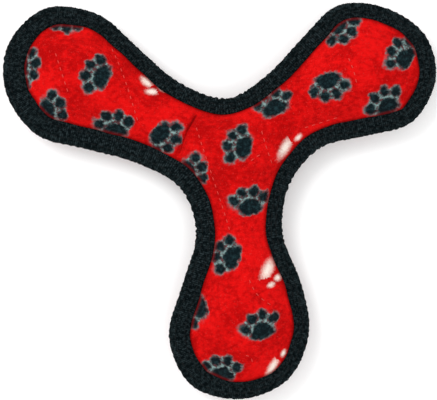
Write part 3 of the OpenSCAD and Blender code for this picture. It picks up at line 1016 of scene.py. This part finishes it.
def fleece_material():
    """Brushed red fleece printed with paws and white flecks, with painted shade along the tape's inner edge
    and in the deep folds.
    """
    material, tree, shader = new_material(
        "Printed fleece", 0.95, Specular_IOR_Level=0.04, Sheen_Weight=0.05, Sheen_Roughness=0.4,
        Sheen_Tint=(0.95, 0.2, 0.18, 1))
    spot = in_millimetres(tree)
    nap = use_group(tree, "Nap", Vector=spot, Tuft_Scale=0.85)
    red = blend(tree, ramp(tree, nap["Shade"], 0.36, 0.62), FLEECE_RED, FLEECE_LIGHT)
    tufts = clouds(tree, spot, 1.3, 2.0, 0.6)
    red = blend(tree, ramp(tree, tufts, 0.6, 0.76, 0.0, 0.55), red, FLEECE_SPECK)
    paw_space = place(tree, "UVMap", uv_map="paw_space").outputs[0]
    paw = use_group(tree, "Paw print", Vector=paw_space, Ragged=spot)
    speckle = clouds(tree, spot, 0.5, 3.0, 0.65)
    rim = calc(tree, "MULTIPLY", paw["Rim"], ramp(tree, speckle, 0.35, 0.6, 0.55, 1.0))
    colour = blend(tree, rim, red, PAW_RIM)
    grey = calc(tree, "MULTIPLY", paw["Gap"], ramp(tree, speckle, 0.38, 0.58, 0.7, 1.0))
    pale = blend(tree, ramp(tree, speckle, 0.4, 0.62), PAW_TEAL, PAW_GREY)
    colour = blend(tree, grey, colour, pale)
    ink = blend(tree, ramp(tree, speckle, 0.42, 0.72), PAW_BLACK, PAW_TEAL)
    colour = blend(tree, paw["Dark"], colour, ink)
    fleck_space = place(tree, "UVMap", uv_map="fleck_space").outputs[0]
    inputs = {"Vector": spot, "Scale": 0.8, "Detail": 3.0, "Roughness": 0.7}
    shake = place(tree, "TexNoise", inputs).outputs["Color"]
    shaken = vector_calc(tree, "MULTIPLY_ADD", shake, (1.1, 1.1, 0), fleck_space)
    bare = vector_calc(tree, "LENGTH", vector_calc(tree, "SUBTRACT", shaken, (0.55, 0.55, 0)))
    colour = blend(tree, ramp(tree, bare, 0.1, 1.55, 1.0, 0.0), colour, FLECK_WHITE)
    lint = use_group(tree, "Lint", Vector=spot, Amount=0.25)
    colour = blend(tree, calc(tree, "MULTIPLY", lint["Mask"], 0.3), colour, FLEECE_SPECK)
    # Painted shade: the fleece is darkened next to the tape's inner edge and along the deep folds, where
    # shadow falls
    edge_space = place(tree, "UVMap", uv_map="edge_space").outputs[0]
    parts = place(tree, "SeparateXYZ", {"Vector": edge_space}).outputs
    painted_shade = ramp(tree, parts["X"], 0.2, 2.2, 0.6, 0.0)
    painted_shade = calc(tree, "MAXIMUM", painted_shade, ramp(tree, parts["Y"], 0.0, 1.2, 0.7, 0.0))
    colour = blend(tree, painted_shade, colour, FLEECE_PAINTED_SHADE)
    finish_surface(tree, shader, colour, nap["Height"], 0.55, 0.8)
    return material


def tape_material():
    """Ribbed black webbing, with painted shade in the grooves between its ribs."""
    material, tree, shader = new_material(
        "Ribbed tape", 0.9, Specular_IOR_Level=0.03)
    run = place(tree, "UVMap", uv_map="tape_run").outputs[0]
    weave = use_group(tree, "Weave", Vector=run, Pitch=0.575)
    spot = in_millimetres(tree)
    mottle = clouds(tree, spot, 0.62, 4.0, 0.7)
    parts = place(tree, "SeparateXYZ", {"Vector": run}).outputs
    # Painted shade: the rib term darkens the grooves between the ribs and lightens their crests; the mottle
    # is the dye's own uneven tone
    rib = calc(tree, "COSINE", calc(tree, "MULTIPLY", parts["X"], TAU / 1.15))
    shade = calc(tree, "MULTIPLY", ramp(tree, mottle, 0.42, 0.66), ramp(tree, rib, -0.8, 0.9, 0.35, 1.0))
    colour = blend(tree, shade, TAPE_DARK, TAPE_LIGHT)
    lint = use_group(tree, "Lint", Vector=spot, Amount=0.9)
    colour = blend(tree, calc(tree, "MULTIPLY", lint["Mask"], 0.55), colour, LINT_GREY)
    finish_surface(tree, shader, colour, weave["Height"], 0.18, 0.9)
    return material


def thread_material(name, colour, dark_share):
    """Sewing thread with the shade of its fibres."""
    material, tree, shader = new_material(name, 0.75, Specular_IOR_Level=0.12)
    spot = in_millimetres(tree)
    fibres = clouds(tree, vector_calc(tree, "MULTIPLY", spot, (1.0, 1.0, 3.0)), 2.4, 2.0)
    dark = tuple(c * dark_share for c in colour[:3]) + (1,)
    lint = use_group(tree, "Lint", Vector=spot, Amount=0.4)
    shade = calc(tree, "MAXIMUM", ramp(tree, fibres, 0.3, 0.7), lint["Mask"])
    finish_surface(tree, shader, blend(tree, shade, dark, colour), fibres, 0.08)
    return material


def canvas_material():
    """Undyed plain-woven canvas, with painted shade in the hollows between its threads."""
    material, tree, shader = new_material("Canvas", 0.9, Specular_IOR_Level=0.2)
    spot = in_millimetres(tree)
    weave = use_group(tree, "Weave", Vector=spot, Pitch=0.7)
    slubs = clouds(tree, vector_calc(tree, "MULTIPLY", spot, (0.25, 2.5, 1.0)), 0.5, 2.0)
    # Painted shade in the hollows between the threads, and the yarn's own darker slubs
    shade = calc(tree, "MAXIMUM", weave["Gap"], ramp(tree, slubs, 0.55, 0.75))
    finish_surface(tree, shader, blend(tree, shade, CANVAS_WHITE, CANVAS_SHADE), weave["Height"], 0.15)
    return material


def filling_material():
    """Loose white polyester fibre."""
    material, tree, shader = new_material("Fibre filling", 0.95, Specular_IOR_Level=0.1, Sheen_Weight=0.3)
    spot = in_millimetres(tree)
    nap = use_group(tree, "Nap", Vector=spot, Tuft_Scale=0.5)
    curls = clouds(tree, spot, 0.22, 5.0, 0.7)
    colour = blend(tree, ramp(tree, curls, 0.3, 0.7), FIBRE_SHADE, FIBRE_WHITE)
    finish_surface(tree, shader, colour, calc(tree, "ADD", nap["Height"], curls), 0.9)
    return material


def moulded_material(name, colour, cloud_colour, roughness, subsurface=0.0):
    """Moulded plastic with faint flow marks."""
    material, tree, shader = new_material(name, roughness, Specular_IOR_Level=0.45,
                                          Subsurface_Weight=subsurface, Subsurface_Scale=0.002)
    spot = in_millimetres(tree)
    flow = clouds(tree, vector_calc(tree, "MULTIPLY", spot, (1.0, 1.0, 0.3)), 0.25, 3.0)
    grain = clouds(tree, spot, 3.5, 1.0)
    lint = use_group(tree, "Lint", Vector=spot, Amount=0.3)
    shade = calc(tree, "MAXIMUM", ramp(tree, flow, 0.35, 0.7), calc(tree, "MULTIPLY", lint["Mask"], 0.6))
    uneven = ramp(tree, flow, 0.3, 0.7, roughness - 0.06, roughness + 0.08)
    finish_surface(tree, shader, blend(tree, shade, colour, cloud_colour), grain, 0.02, 0.6, uneven)
    return material


def floor_material(colour):
    """Pale matt backdrop paper."""
    material, tree, shader = new_material("Pale floor", 0.95, Specular_IOR_Level=0.1)
    spot = in_millimetres(tree)
    tone = clouds(tree, spot, 0.004, 2.0)
    darker = tuple(c * 0.985 for c in colour[:3]) + (1,)
    finish_surface(tree, shader, blend(tree, tone, darker, colour), clouds(tree, spot, 0.8, 2.0), 0.02, 0.3)
    return material


MATERIALS = {}


def material(name):
    """A finish by name, built when it is first asked for."""
    if not MATERIALS:
        build_groups()
        MATERIALS.update(
            fleece=fleece_material(),
            tape=tape_material(),
            canvas=canvas_material(),
            filling=filling_material(),
            black_thread=thread_material("Black thread", THREAD_BLACK, 0.5),
            red_thread=thread_material("Red thread", THREAD_RED, 0.7),
            white_thread=thread_material("White thread", THREAD_WHITE, 0.75),
            bulb=moulded_material("Bulb plastic", BULB_WHITE, BULB_CLOUD, 0.42, 0.15),
            whistle=moulded_material("Whistle plastic", WHISTLE_WHITE, BULB_CLOUD, 0.34),
            reed=moulded_material("Reed film", REED_AMBER, REED_SHADE, 0.2),
        )
    return MATERIALS[name]


# ---------------------------------------------------------------- shared shapes

FACES = {}


def faces_of(settings):
    """The front and the back face, made once."""
    if not FACES:
        fabric, lift = settings.fabric, settings.tape.lift / MM
        pillow = blown_pillow(fabric)
        FACES["front"] = Face(1, fabric, lift, pillow[0])
        FACES["back"] = Face(-1, fabric, lift, pillow[1])
    return FACES["front"], FACES["back"]


def tape_height(settings, inset, leaf):
    """Height of the tape's outside over the seam plane, at an inset of a leaf."""
    fabric, tape = settings.fabric, settings.tape
    flat = (fabric.fleece + fabric.canvas + tape.thickness) / MM
    share = np.clip(inset / leaf, 0, 1)
    bend = np.clip(1 - inset / flat, 0, 1)
    return flat * np.sqrt(1 - bend ** 2) + tape.lift / MM * share ** 2


# Inset of the outer row of stitches, and of the inner row from the leaf's inner edge
OUTER_ROW = 3.6
INNER_ROW = 3.0


def tape_section(settings, edge):
    """Inset and height of every point of the tape's section at every station, with its outward direction.

    The section runs over the outside from the front's inner edge round the fold to the back's, and
    returns through the inside. The last value is the width of tape from the front's inner edge.
    """
    fabric, tape = settings.fabric, settings.tape
    cover, thick, lift = (fabric.fleece + fabric.canvas) / MM, tape.thickness / MM, tape.lift / MM
    flat = cover + thick
    rows = []
    for side, leaf in ((1, edge.front), (-1, edge.back)):
        outside = [(leaf + 0.02, flat + lift - 0.62, 0.5), (leaf - 0.3, flat + lift - 0.12, 0.8)]
        for share in (0.9, 0.75, 0.6, 0.45, 0.3, 0.12):
            inset = flat + share * (leaf - flat - 0.3)
            outside.append((inset, flat + lift * (inset / leaf) ** 2, 1.0))
        rows.append([(inset, side * height, ribbed, 0.0, side) for inset, height, ribbed in outside])
    turn = []
    for angle in (84, 60, 38, 18, 0, -18, -38, -60, -84):
        a = math.radians(angle)
        turn.append((flat - flat * math.cos(a), flat * math.sin(a), 1.0, -math.cos(a), math.sin(a)))
    outer = rows[0] + turn + rows[1][::-1]
    inner = []
    for side, leaf in ((-1, edge.back), (1, edge.front)):
        inside = [(leaf - 0.02, cover + lift), (leaf * 0.55, cover + lift * 0.3), (1.6, cover - 0.1)]
        part = [(inset, side * height, 0.0, 0.0, -side) for inset, height in inside]
        inner += part if side < 0 else part[::-1]
    inner.insert(3, (1.15, 0.0, 0.0, 1.0, 0.0))
    section = [[np.broadcast_to(v, edge.count) for v in point] for point in outer + inner]
    return np.array(section).transpose(2, 0, 1), len(outer)


def tape_mesh(settings):
    """Points, faces and UVs of the folded tape, with its ribs, gathers and stitching grooves."""
    tape = settings.tape
    per_rib = 4
    ribs = round(EDGE.length / (tape.rib / MM))
    edge = Edge(ribs * per_rib)
    section, outside = tape_section(settings, edge)
    inset, height, ribbed, out_x, out_z = (section[:, :, k].copy() for k in range(5))
    count = section.shape[1]
    station = np.arange(edge.count)[:, None]
    run = station * edge.length / edge.count
    across = np.concatenate([[0], np.cumsum(np.hypot(*np.diff(section[0, :outside, :2], axis=0).T))])
    across = np.concatenate([across, np.linspace(across[-1], 0, count - outside)])
    slant = 0.22 * np.abs(across - across.max() / 2)[None, :] / 10
    rib = np.cos(TAU * (station / per_rib + slant))
    push = tape.rib_height / MM / 2 * ribbed * (rib + 0.3 * wander(edge.count, (601, 683, 739), 8)[:, None])
    concave = np.clip(-edge.bend * 25, 0, 1)[:, None]
    convex = np.clip(edge.bend * 28, 0, 1)[:, None]
    gather = 0.5 * np.sin(TAU * run / 4.3 + 5 * wander(edge.count, (31, 47, 59), 9)[:, None])
    gather = gather + 0.8 * wander(edge.count, (131, 173, 211, 257, 307), 14)[:, None]
    at_fold = np.exp(-(inset / 3.2) ** 2)
    push += tape.pucker / MM * (0.5 + 0.5 * concave) * at_fold * gather * (ribbed > 0)
    side = np.sign(height)
    leaf = np.where(side >= 0, edge.front[:, None], edge.back[:, None])
    at_inner = np.exp(-((leaf - inset) / 2.6) ** 2)
    pleat = np.sin(TAU * run / 5.3 + 2.2 * wander(edge.count, (29, 41, 53), 10)[:, None])
    push += 0.2 * convex * at_inner * pleat * (ribbed > 0)
    ripple = 0.16 * wander(edge.count, (19, 27, 43), 12)[:, None] * np.clip(inset / leaf, 0, 1)
    for row in (OUTER_ROW, leaf - INNER_ROW):
        push -= 0.24 * np.exp(-((inset - row) / 0.75) ** 2) * (ribbed > 0)
    inset = inset + push * out_x
    height = height + push * out_z + ripple * side * (ribbed > 0)
    flat_place = edge.place[:, None, :] + edge.inward[:, None, :] * inset[:, :, None]
    points = np.concatenate([flat_place, (SEAM + height)[:, :, None]], axis=2).reshape(-1, 3)
    here, there = np.arange(edge.count), (np.arange(edge.count) + 1) % edge.count
    c, d = np.arange(count), (np.arange(count) + 1) % count
    faces = np.stack([here[:, None] * count + c, here[:, None] * count + d,
                      there[:, None] * count + d, there[:, None] * count + c], axis=2).reshape(-1, 4)
    u = np.stack([here, here, here + 1, here + 1], axis=1) * tape.rib / MM / per_rib
    u = np.repeat(u[:, None, :], count, axis=1)
    v = np.stack([across[c], across[d], across[d], across[c]], axis=1)
    uv = np.stack([u, np.broadcast_to(v[None], u.shape)], axis=3).reshape(-1, 2)
    return points, faces, uv


def row_on_tape(settings, side, inset_of_row, seed):
    """Ends of each stitch of a row that runs round one leaf of the tape, and their outward directions."""
    tape = settings.tape
    count = round(EDGE.length / (tape.stitch / MM))
    edge = Edge(count * 10)
    leaf = edge.leaf(side)
    inset = inset_of_row(leaf) + 0.22 * wander(edge.count, (17, 29, 61), seed)
    flat = edge.inset(inset)
    height = SEAM + side * (tape_height(settings, inset, leaf) - 0.1)
    line = np.column_stack([flat, height])
    stitches = [(line[k * 10 + 1], line[k * 10 + 8]) for k in range(count)]
    return stitches, [(0, 0, side)] * count


# ---------------------------------------------------------------- operators

class BOOMERANG_OT_stage(bpy.types.Operator):
    """Makes the floor, the lights and the camera"""

    bl_idname = "boomerang.stage"
    bl_label = "Stage"

    def execute(self, context):
        settings = context.scene.boomerang.stage
        middle = (CAD_LOW + CAD_HIGH) / 2
        half, cells = 3.0, 8
        row = cells + 1
        ends = [-half + k * 2 * half / cells for k in range(row)]
        corners = [r * row + c for r in range(cells) for c in range(cells)]
        mesh = bpy.data.meshes.new("floor")
        mesh.from_pydata([(x, y, 0) for y in ends for x in ends], [],
                         [(k, k + 1, k + row + 1, k + row) for k in corners])
        mesh.materials.append(floor_material(tuple(settings.floor)))
        floor = bpy.data.objects.new("floor", mesh)
        context.scene.collection.objects.link(floor)
        self.light(context, "key_light", (-0.75, 0.7, 1.15), 0.9, settings.key_power)
        self.light(context, "fill_light", (0.9, -0.6, 1.0), 1.2, settings.fill_power)
        world = bpy.data.worlds.new("studio")
        world.use_nodes = True
        world.node_tree.nodes["Background"].inputs["Color"].default_value = (1, 1, 1, 1)
        world.node_tree.nodes["Background"].inputs["Strength"].default_value = settings.ambient
        context.scene.world = world
        context.scene.view_settings.view_transform = "Standard"
        camera = bpy.data.objects.new("camera", bpy.data.cameras.new("camera"))
        context.scene.collection.objects.link(camera)
        seam_distance = settings.distance - SEAM * MM
        camera.data.sensor_width = 36
        camera.data.lens = 36 * seam_distance / settings.view_width
        camera.location = (middle.x - 0.5 * MM, middle.y + 0.5 * MM, settings.distance)
        context.scene.camera = camera
        return {"FINISHED"}

    def light(self, context, name, place_m, size, power):
        """A square soft light that faces the toy."""
        lamp = bpy.data.lights.new(name, "AREA")
        lamp.size = size
        lamp.energy = power
        light = bpy.data.objects.new(name, lamp)
        light.location = place_m
        light.rotation_euler = (-Vector(place_m)).to_track_quat("-Z", "Y").to_euler()
        context.scene.collection.objects.link(light)


class BOOMERANG_OT_faces(bpy.types.Operator):
    """Makes the two printed fleece faces"""

    bl_idname = "boomerang.faces"
    bl_label = "Fleece faces"

    def execute(self, context):
        settings = context.scene.boomerang
        thick = settings.fabric.fleece / MM
        for face, name in zip(faces_of(settings), ("front_fleece", "back_fleece")):
            points, faces = layer(face, 0, thick)
            piece = make_piece(name + "_face", points, faces, material("fleece"))
            corners, middles = corner_arrays(piece.data)
            paws = FRONT_PAWS if face.side > 0 else scattered(37, 21, lambda draw: ())
            flecks = FRONT_FLECKS if face.side > 0 else scattered(
                60, 33, lambda draw: (draw.uniform(3, 6), draw.uniform(1.4, 2.6)))
            barred = None
            if face.side > 0:
                _, on_left, _ = reach_to_line(middles, face.folds[0][0])
                barred = (FOLDED_PAW, on_left > 0)
            across, along, _ = nearest_motif(corners, middles, paws, barred)
            add_uv(piece.data, "paw_space", np.column_stack([across, along]))
            across, along, pick = nearest_motif(corners, middles, flecks)
            size = np.array([f[3:5] for f in flecks])[pick]
            # Distances to the tape's edge and to the folds, which set the fleece's painted shade
            add_uv(piece.data, "edge_space", face.shelter(corners))
            add_uv(piece.data, "fleck_space", np.column_stack([along / size[:, 0], across / size[:, 1]]))
            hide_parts(name)
        return {"FINISHED"}


class BOOMERANG_OT_canvases(bpy.types.Operator):
    """Makes the canvas behind each face"""

    bl_idname = "boomerang.canvases"
    bl_label = "Canvas backings"

    def execute(self, context):
        settings = context.scene.boomerang
        fleece, canvas = settings.fabric.fleece / MM, settings.fabric.canvas / MM
        for face, name in zip(faces_of(settings), ("front_canvas", "back_canvas")):
            points, faces = layer(face, fleece + 0.03, fleece + canvas)
            piece = make_piece(name + "_lining", points, faces, material("canvas"))
            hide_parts(name)
        return {"FINISHED"}


class BOOMERANG_OT_tape(bpy.types.Operator):
    """Makes the folded binding tape"""

    bl_idname = "boomerang.tape"
    bl_label = "Binding tape"

    def execute(self, context):
        points, faces, uv = tape_mesh(context.scene.boomerang)
        piece = make_piece("binding_tape", points, faces, material("tape"))
        add_uv(piece.data, "tape_run", uv)
        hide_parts("edge_binding")
        return {"FINISHED"}


class BOOMERANG_OT_tape_stitches(bpy.types.Operator):
    """Makes the four rows of stitches that hold the tape, and the row inside that joins the faces"""

    bl_idname = "boomerang.tape_stitches"
    bl_label = "Tape stitches"

    def execute(self, context):
        settings = context.scene.boomerang
        thread = settings.tape.thread / MM
        rows = [
            ("outer_needle_thread", 1, lambda leaf: np.full_like(leaf, OUTER_ROW), 41),
            ("outer_bobbin_thread", -1, lambda leaf: np.full_like(leaf, OUTER_ROW), 42),
            ("inner_needle_thread", 1, lambda leaf: leaf - INNER_ROW, 43),
            ("inner_bobbin_thread", -1, lambda leaf: leaf - INNER_ROW, 44),
        ]
        for node, side, inset_of_row, seed in rows:
            stitches, ups = row_on_tape(settings, side, inset_of_row, seed)
            piece = stitch_piece(node + "_stitches", stitches, ups, thread, thread * 1.2,
                                 material("black_thread"))
            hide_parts(node)
        seam = Edge(round(EDGE.length / 3.5) * 4)
        line = np.column_stack([seam.inset(2 * OUTER_ROW), np.full(seam.count, SEAM)])
        stitches = [(line[k], line[k + 3]) for k in range(0, seam.count - 3, 4)]
        piece = stitch_piece("panel_seam_stitches", stitches, [(0, 0, 1)] * len(stitches), thread,
                             thread, material("white_thread"))
        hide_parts("panel_seam_thread")
        return {"FINISHED"}


class BOOMERANG_OT_quilting(bpy.types.Operator):
    """Makes the quilting stitches of both faces"""

    bl_idname = "boomerang.quilting"
    bl_label = "Quilting stitches"

    def execute(self, context):
        settings = context.scene.boomerang
        pitch, thread = settings.fabric.quilt_pitch / MM, settings.tape.thread / MM
        for face, node in zip(faces_of(settings), ("front_quilting_thread", "back_quilting_thread")):
            stitches, ups = [], []
            for row in quilting_rows(face.side):
                marks = spaced(row, pitch / 4)
                heights = SEAM + face.side * face.height_at(marks)
                line = np.column_stack([marks, heights])
                for k in range(0, len(line) - 3, 4):
                    stitches.append((line[k], line[k + 2]))
                    ups.append((0, 0, face.side))
            piece = stitch_piece(node + "_stitches", stitches, ups, thread, thread * 1.5,
                                 material("red_thread"))
            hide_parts(node)
        return {"FINISHED"}


# Spacing of the filling's points, and how far its edge stays from the tape's wider leaf
FILLING_GRID = 2.3
FILLING_FOOT = 0.8
# Room between the canvas and the filling, the hollow for a pouch, and the pouch itself
FILLING_ROOM = 0.08
HOLLOW_ROOM = 0.7
POUCH_ROOM = 0.9


def arm_cuts():
    """For each arm, the bent line on which the hub's filling ends: edge, spine, edge."""
    cuts = []
    for arm in ARMS:
        corners = node_corners(arm + "_arm_filling")[:, :2]
        lobe = np.array(LOBES[ARMS.index(arm)])
        spine = lobe / 3
        along = lobe / np.linalg.norm(lobe)
        across = np.array([-along[1], along[0]])
        near = corners[corners @ along < spine @ along + 22]
        sideways = (near - spine) @ across
        cuts.append([near[np.argmax(sideways)], spine, near[np.argmin(sideways)]])
    return cuts


def kept_between(points, front, back, margin):
    """Points with their heights held at least a margin inside both faces."""
    over = SEAM + front.height_at(points[:, :2]) - margin
    under = SEAM - back.height_at(points[:, :2]) + margin
    return np.column_stack([points[:, :2], np.clip(points[:, 2], under, over)])


class BOOMERANG_OT_filling(bpy.types.Operator):
    """Makes the fibre filling of the hub and the three arms"""

    bl_idname = "boomerang.filling"
    bl_label = "Filling"

    def execute(self, context):
        settings = context.scene.boomerang
        front, back = faces_of(settings)
        foot = np.maximum(EDGE.front, EDGE.back) + FILLING_FOOT
        cuts = [self.drawn_out(cut) for cut in arm_cuts()]
        places, triangles = filled_panel(foot, [], cuts, FILLING_GRID)
        cover = (settings.fabric.fleece + settings.fabric.canvas) / MM + FILLING_ROOM
        tufts = 0.35 + 0.3 * lumps(places, 50)
        top = SEAM + np.maximum(front.height_at(places) - cover - np.maximum(tufts, 0), 0.05)
        bottom = SEAM - np.maximum(back.height_at(places) - cover - np.maximum(tufts, 0), 0.05)
        middles = places[triangles].mean(axis=1)
        in_hub = np.ones(len(triangles), bool)
        for number, arm in enumerate(ARMS):
            beyond = self.beyond_cut(middles, cuts[number], LOBES[number])
            in_hub &= ~beyond
            points, faces = slab(*self.trimmed(places, triangles[beyond], top, bottom))
            hollow_points, hollow_faces = self.pouch_hollow(arm, number, front, back, cover)
            faces += [tuple(len(points) + v for v in f) for f in hollow_faces]
            points = np.vstack([points, hollow_points])
            self.piece(arm + "_arm_filling", points, faces)
        points, faces = slab(*self.trimmed(places, triangles[in_hub], top, bottom))
        self.piece("hub_filling", points, faces)
        return {"FINISHED"}

    def drawn_out(self, cut):
        """A cut drawn out past the panel's edge at both ends is brought back to just inside it."""
        line = spaced(cut, FILLING_GRID)
        inset, station = EDGE.locate(line)
        foot = np.maximum(EDGE.front, EDGE.back)[station] + FILLING_FOOT
        return line[inset > foot + 1.0]

    def beyond_cut(self, middles, cut, lobe):
        """Which triangles lie on the lobe's side of a cut."""
        lobe = np.array(lobe)
        along = lobe / np.linalg.norm(lobe)
        across = np.array([-along[1], along[0]])
        order = np.argsort(cut @ across)
        limit = np.interp(middles @ across, (cut @ across)[order], (cut @ along)[order])
        return (middles @ along > limit) & (np.abs(middles @ across) < 60)

    def trimmed(self, places, triangles, top, bottom):
        """The points that some triangles use, renumbered."""
        used, inverse = np.unique(triangles, return_inverse=True)
        return places[used], inverse.reshape(-1, 3), top[used], bottom[used]

    def pouch_hollow(self, arm, number, front, back, cover):
        """The inward-facing wall of the hollow that holds a squeaker's pouch."""
        low, high = (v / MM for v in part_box(arm + "_squeaker_pouch"))
        radius = (high.x - low.x) / 2 + 1.1
        base, top = low.z - 0.3, high.z + 0.3
        profile = [(0.01, base), (radius - 5, base), (radius - 1.4, base + 1.6), (radius, base + 5),
                   (radius, top - 5), (radius - 1.4, top - 1.6), (radius - 5, top), (0.01, top)]
        points, faces = lathe(profile, LOBES[number], 48)
        return kept_between(points, front, back, cover + HOLLOW_ROOM), [tuple(reversed(f)) for f in faces]

    def piece(self, node, points, faces):
        """One piece of filling that stands for its node."""
        made = make_piece(node + "_fibre", points, faces, material("filling"))
        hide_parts(node)


def round_corner(r, z, size, angles):
    """Points of a lathed profile's rounded corner about (r, z), at angles in degrees."""
    turns = [math.radians(angle) for angle in angles]
    return [(r + size * math.cos(a), z + size * math.sin(a)) for a in turns]


class BOOMERANG_OT_squeakers(bpy.types.Operator):
    """Makes each squeaker's pouch and bulb, and finishes its whistle and reed"""

    bl_idname = "boomerang.squeakers"
    bl_label = "Squeakers"

    def execute(self, context):
        settings = context.scene.boomerang.squeaker
        for arm, centre in zip(ARMS, LOBES):
            self.pouch(arm, centre, context.scene.boomerang)
            self.bulb(arm, centre, settings)
            for part, finish in (("whistle", "whistle"), ("reed", "reed")):
                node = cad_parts[f"{arm}_squeaker_{part}"]
                node.data.materials.clear()
                node.data.materials.append(material(finish))
        return {"FINISHED"}

    def pouch(self, arm, centre, settings):
        """A drawn canvas bag with a flat sewn brim round its middle."""
        node = arm + "_squeaker_pouch"
        low, high = (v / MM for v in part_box(node))
        fabric = settings.fabric
        radius, thick = (high.x - low.x) / 2, settings.squeaker.pouch / MM
        middle = (low.z + high.z) / 2
        half = (high.z - low.z) / 2
        outside, inside = [], []
        for angle in range(-90, 91, 10):
            a = math.radians(angle)
            bulge = math.copysign(abs(math.sin(a)) ** 0.55, a)
            outside.append((max(0.01, radius * abs(math.cos(a)) ** 0.5), middle + half * bulge))
        for r, z in reversed(outside):
            inset = thick * 0.9 if r > 1 else 0
            inside.append((max(0.01, r - inset), middle + (z - middle) * (1 - thick / half)))
        brim = [(radius + 0.95, middle - 0.35), (radius + 0.95, middle + 0.35)]
        turn = len(outside) // 2
        profile = outside[:turn] + brim + outside[turn + 1:] + inside

        def creased(r, z, theta):
            """Gathers that are deepest at the shoulders of the bag."""
            shoulder = np.clip(1 - np.abs(np.abs(z - middle) / half - 0.75) * 3, 0, 1)
            pleats = np.sin(theta * 17 + 0.6) * 0.22 + np.sin(theta * 29) * 0.12
            return r - np.abs(pleats) * shoulder, z

        points, faces = lathe(profile, centre, 96, creased)
        cover = (fabric.fleece + fabric.canvas) / MM
        points = kept_between(points, *faces_of(settings), cover + POUCH_ROOM)
        piece = make_piece(f"{arm}_pouch_bag", points, faces, material("canvas"))
        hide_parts(node)

    def bulb(self, arm, centre, settings):
        """A hollow flattened bulb with two bellows grooves, open at its neck."""
        node = arm + "_squeaker_bulb"
        low, high = (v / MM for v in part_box(node))
        radius, wall = (high.x - low.x) / 2, settings.wall / MM
        neck = 4.2
        corner = 4.0
        outside = [(0.05, low.z), (radius - corner, low.z)]
        outside += round_corner(radius - corner, low.z + corner, corner, range(-80, 1, 16))
        span = high.z - low.z - 2 * corner
        grooves = ((0.12, 0.0), (0.28, 0.55), (0.44, 0.0), (0.5, 0.0), (0.56, 0.0), (0.72, 0.55), (0.88, 0.0))
        for share, dent in grooves:
            outside.append((radius - dent, low.z + corner + share * span))
        outside += round_corner(radius - corner, high.z - corner, corner, range(0, 81, 16))
        outside += [(radius - corner, high.z), (neck + 1.6, high.z), (neck + 0.5, high.z),
                    (neck, high.z - 0.4)]
        inside = [(neck, high.z - wall), (radius - corner, high.z - wall), (radius - wall, high.z - corner),
                  (radius - wall - 0.3, (low.z + high.z) / 2), (radius - wall, low.z + corner),
                  (radius - corner, low.z + wall), (0.05, low.z + wall)]
        points, faces = lathe(outside + inside, centre, 72)
        piece = make_piece(f"{arm}_bulb_shell", points, faces, material("bulb"))
        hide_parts(node)
        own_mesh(piece)


STEPS = (
    BOOMERANG_OT_stage, BOOMERANG_OT_faces, BOOMERANG_OT_canvases, BOOMERANG_OT_tape,
    BOOMERANG_OT_tape_stitches, BOOMERANG_OT_quilting, BOOMERANG_OT_filling, BOOMERANG_OT_squeakers,
)


class BOOMERANG_PT_panel(bpy.types.Panel):
    """Lists the steps that build the toy, with their settings"""

    bl_label = "Soft boomerang"
    bl_space_type = "VIEW_3D"
    bl_region_type = "UI"
    bl_category = "Boomerang"

    def draw(self, context):
        settings = context.scene.boomerang
        for step in STEPS:
            self.layout.operator(step.bl_idname)
        for group in (settings.fabric, settings.tape, settings.squeaker, settings.stage):
            box = self.layout.box()
            for name in group.__annotations__:
                box.prop(group, name)


CLASSES = (
    FabricSettings, TapeSettings, SqueakerSettings, StageSettings, BoomerangSettings, *STEPS,
    BOOMERANG_PT_panel,
)


def register():
    """Registers the add-on's classes and its settings."""
    for each in CLASSES:
        bpy.utils.register_class(each)
    bpy.types.Scene.boomerang = PointerProperty(type=BoomerangSettings)


def unregister():
    """Removes the add-on's settings and classes."""
    del bpy.types.Scene.boomerang
    for each in reversed(CLASSES):
        bpy.utils.unregister_class(each)


def main():
    """Builds the whole toy."""
    register()
    bpy.ops.boomerang.stage()
    bpy.ops.boomerang.faces()
    bpy.ops.boomerang.canvases()
    bpy.ops.boomerang.tape()
    bpy.ops.boomerang.tape_stitches()
    bpy.ops.boomerang.quilting()
    bpy.ops.boomerang.filling()
    bpy.ops.boomerang.squeakers()


if __name__ == "__main__":
    main()
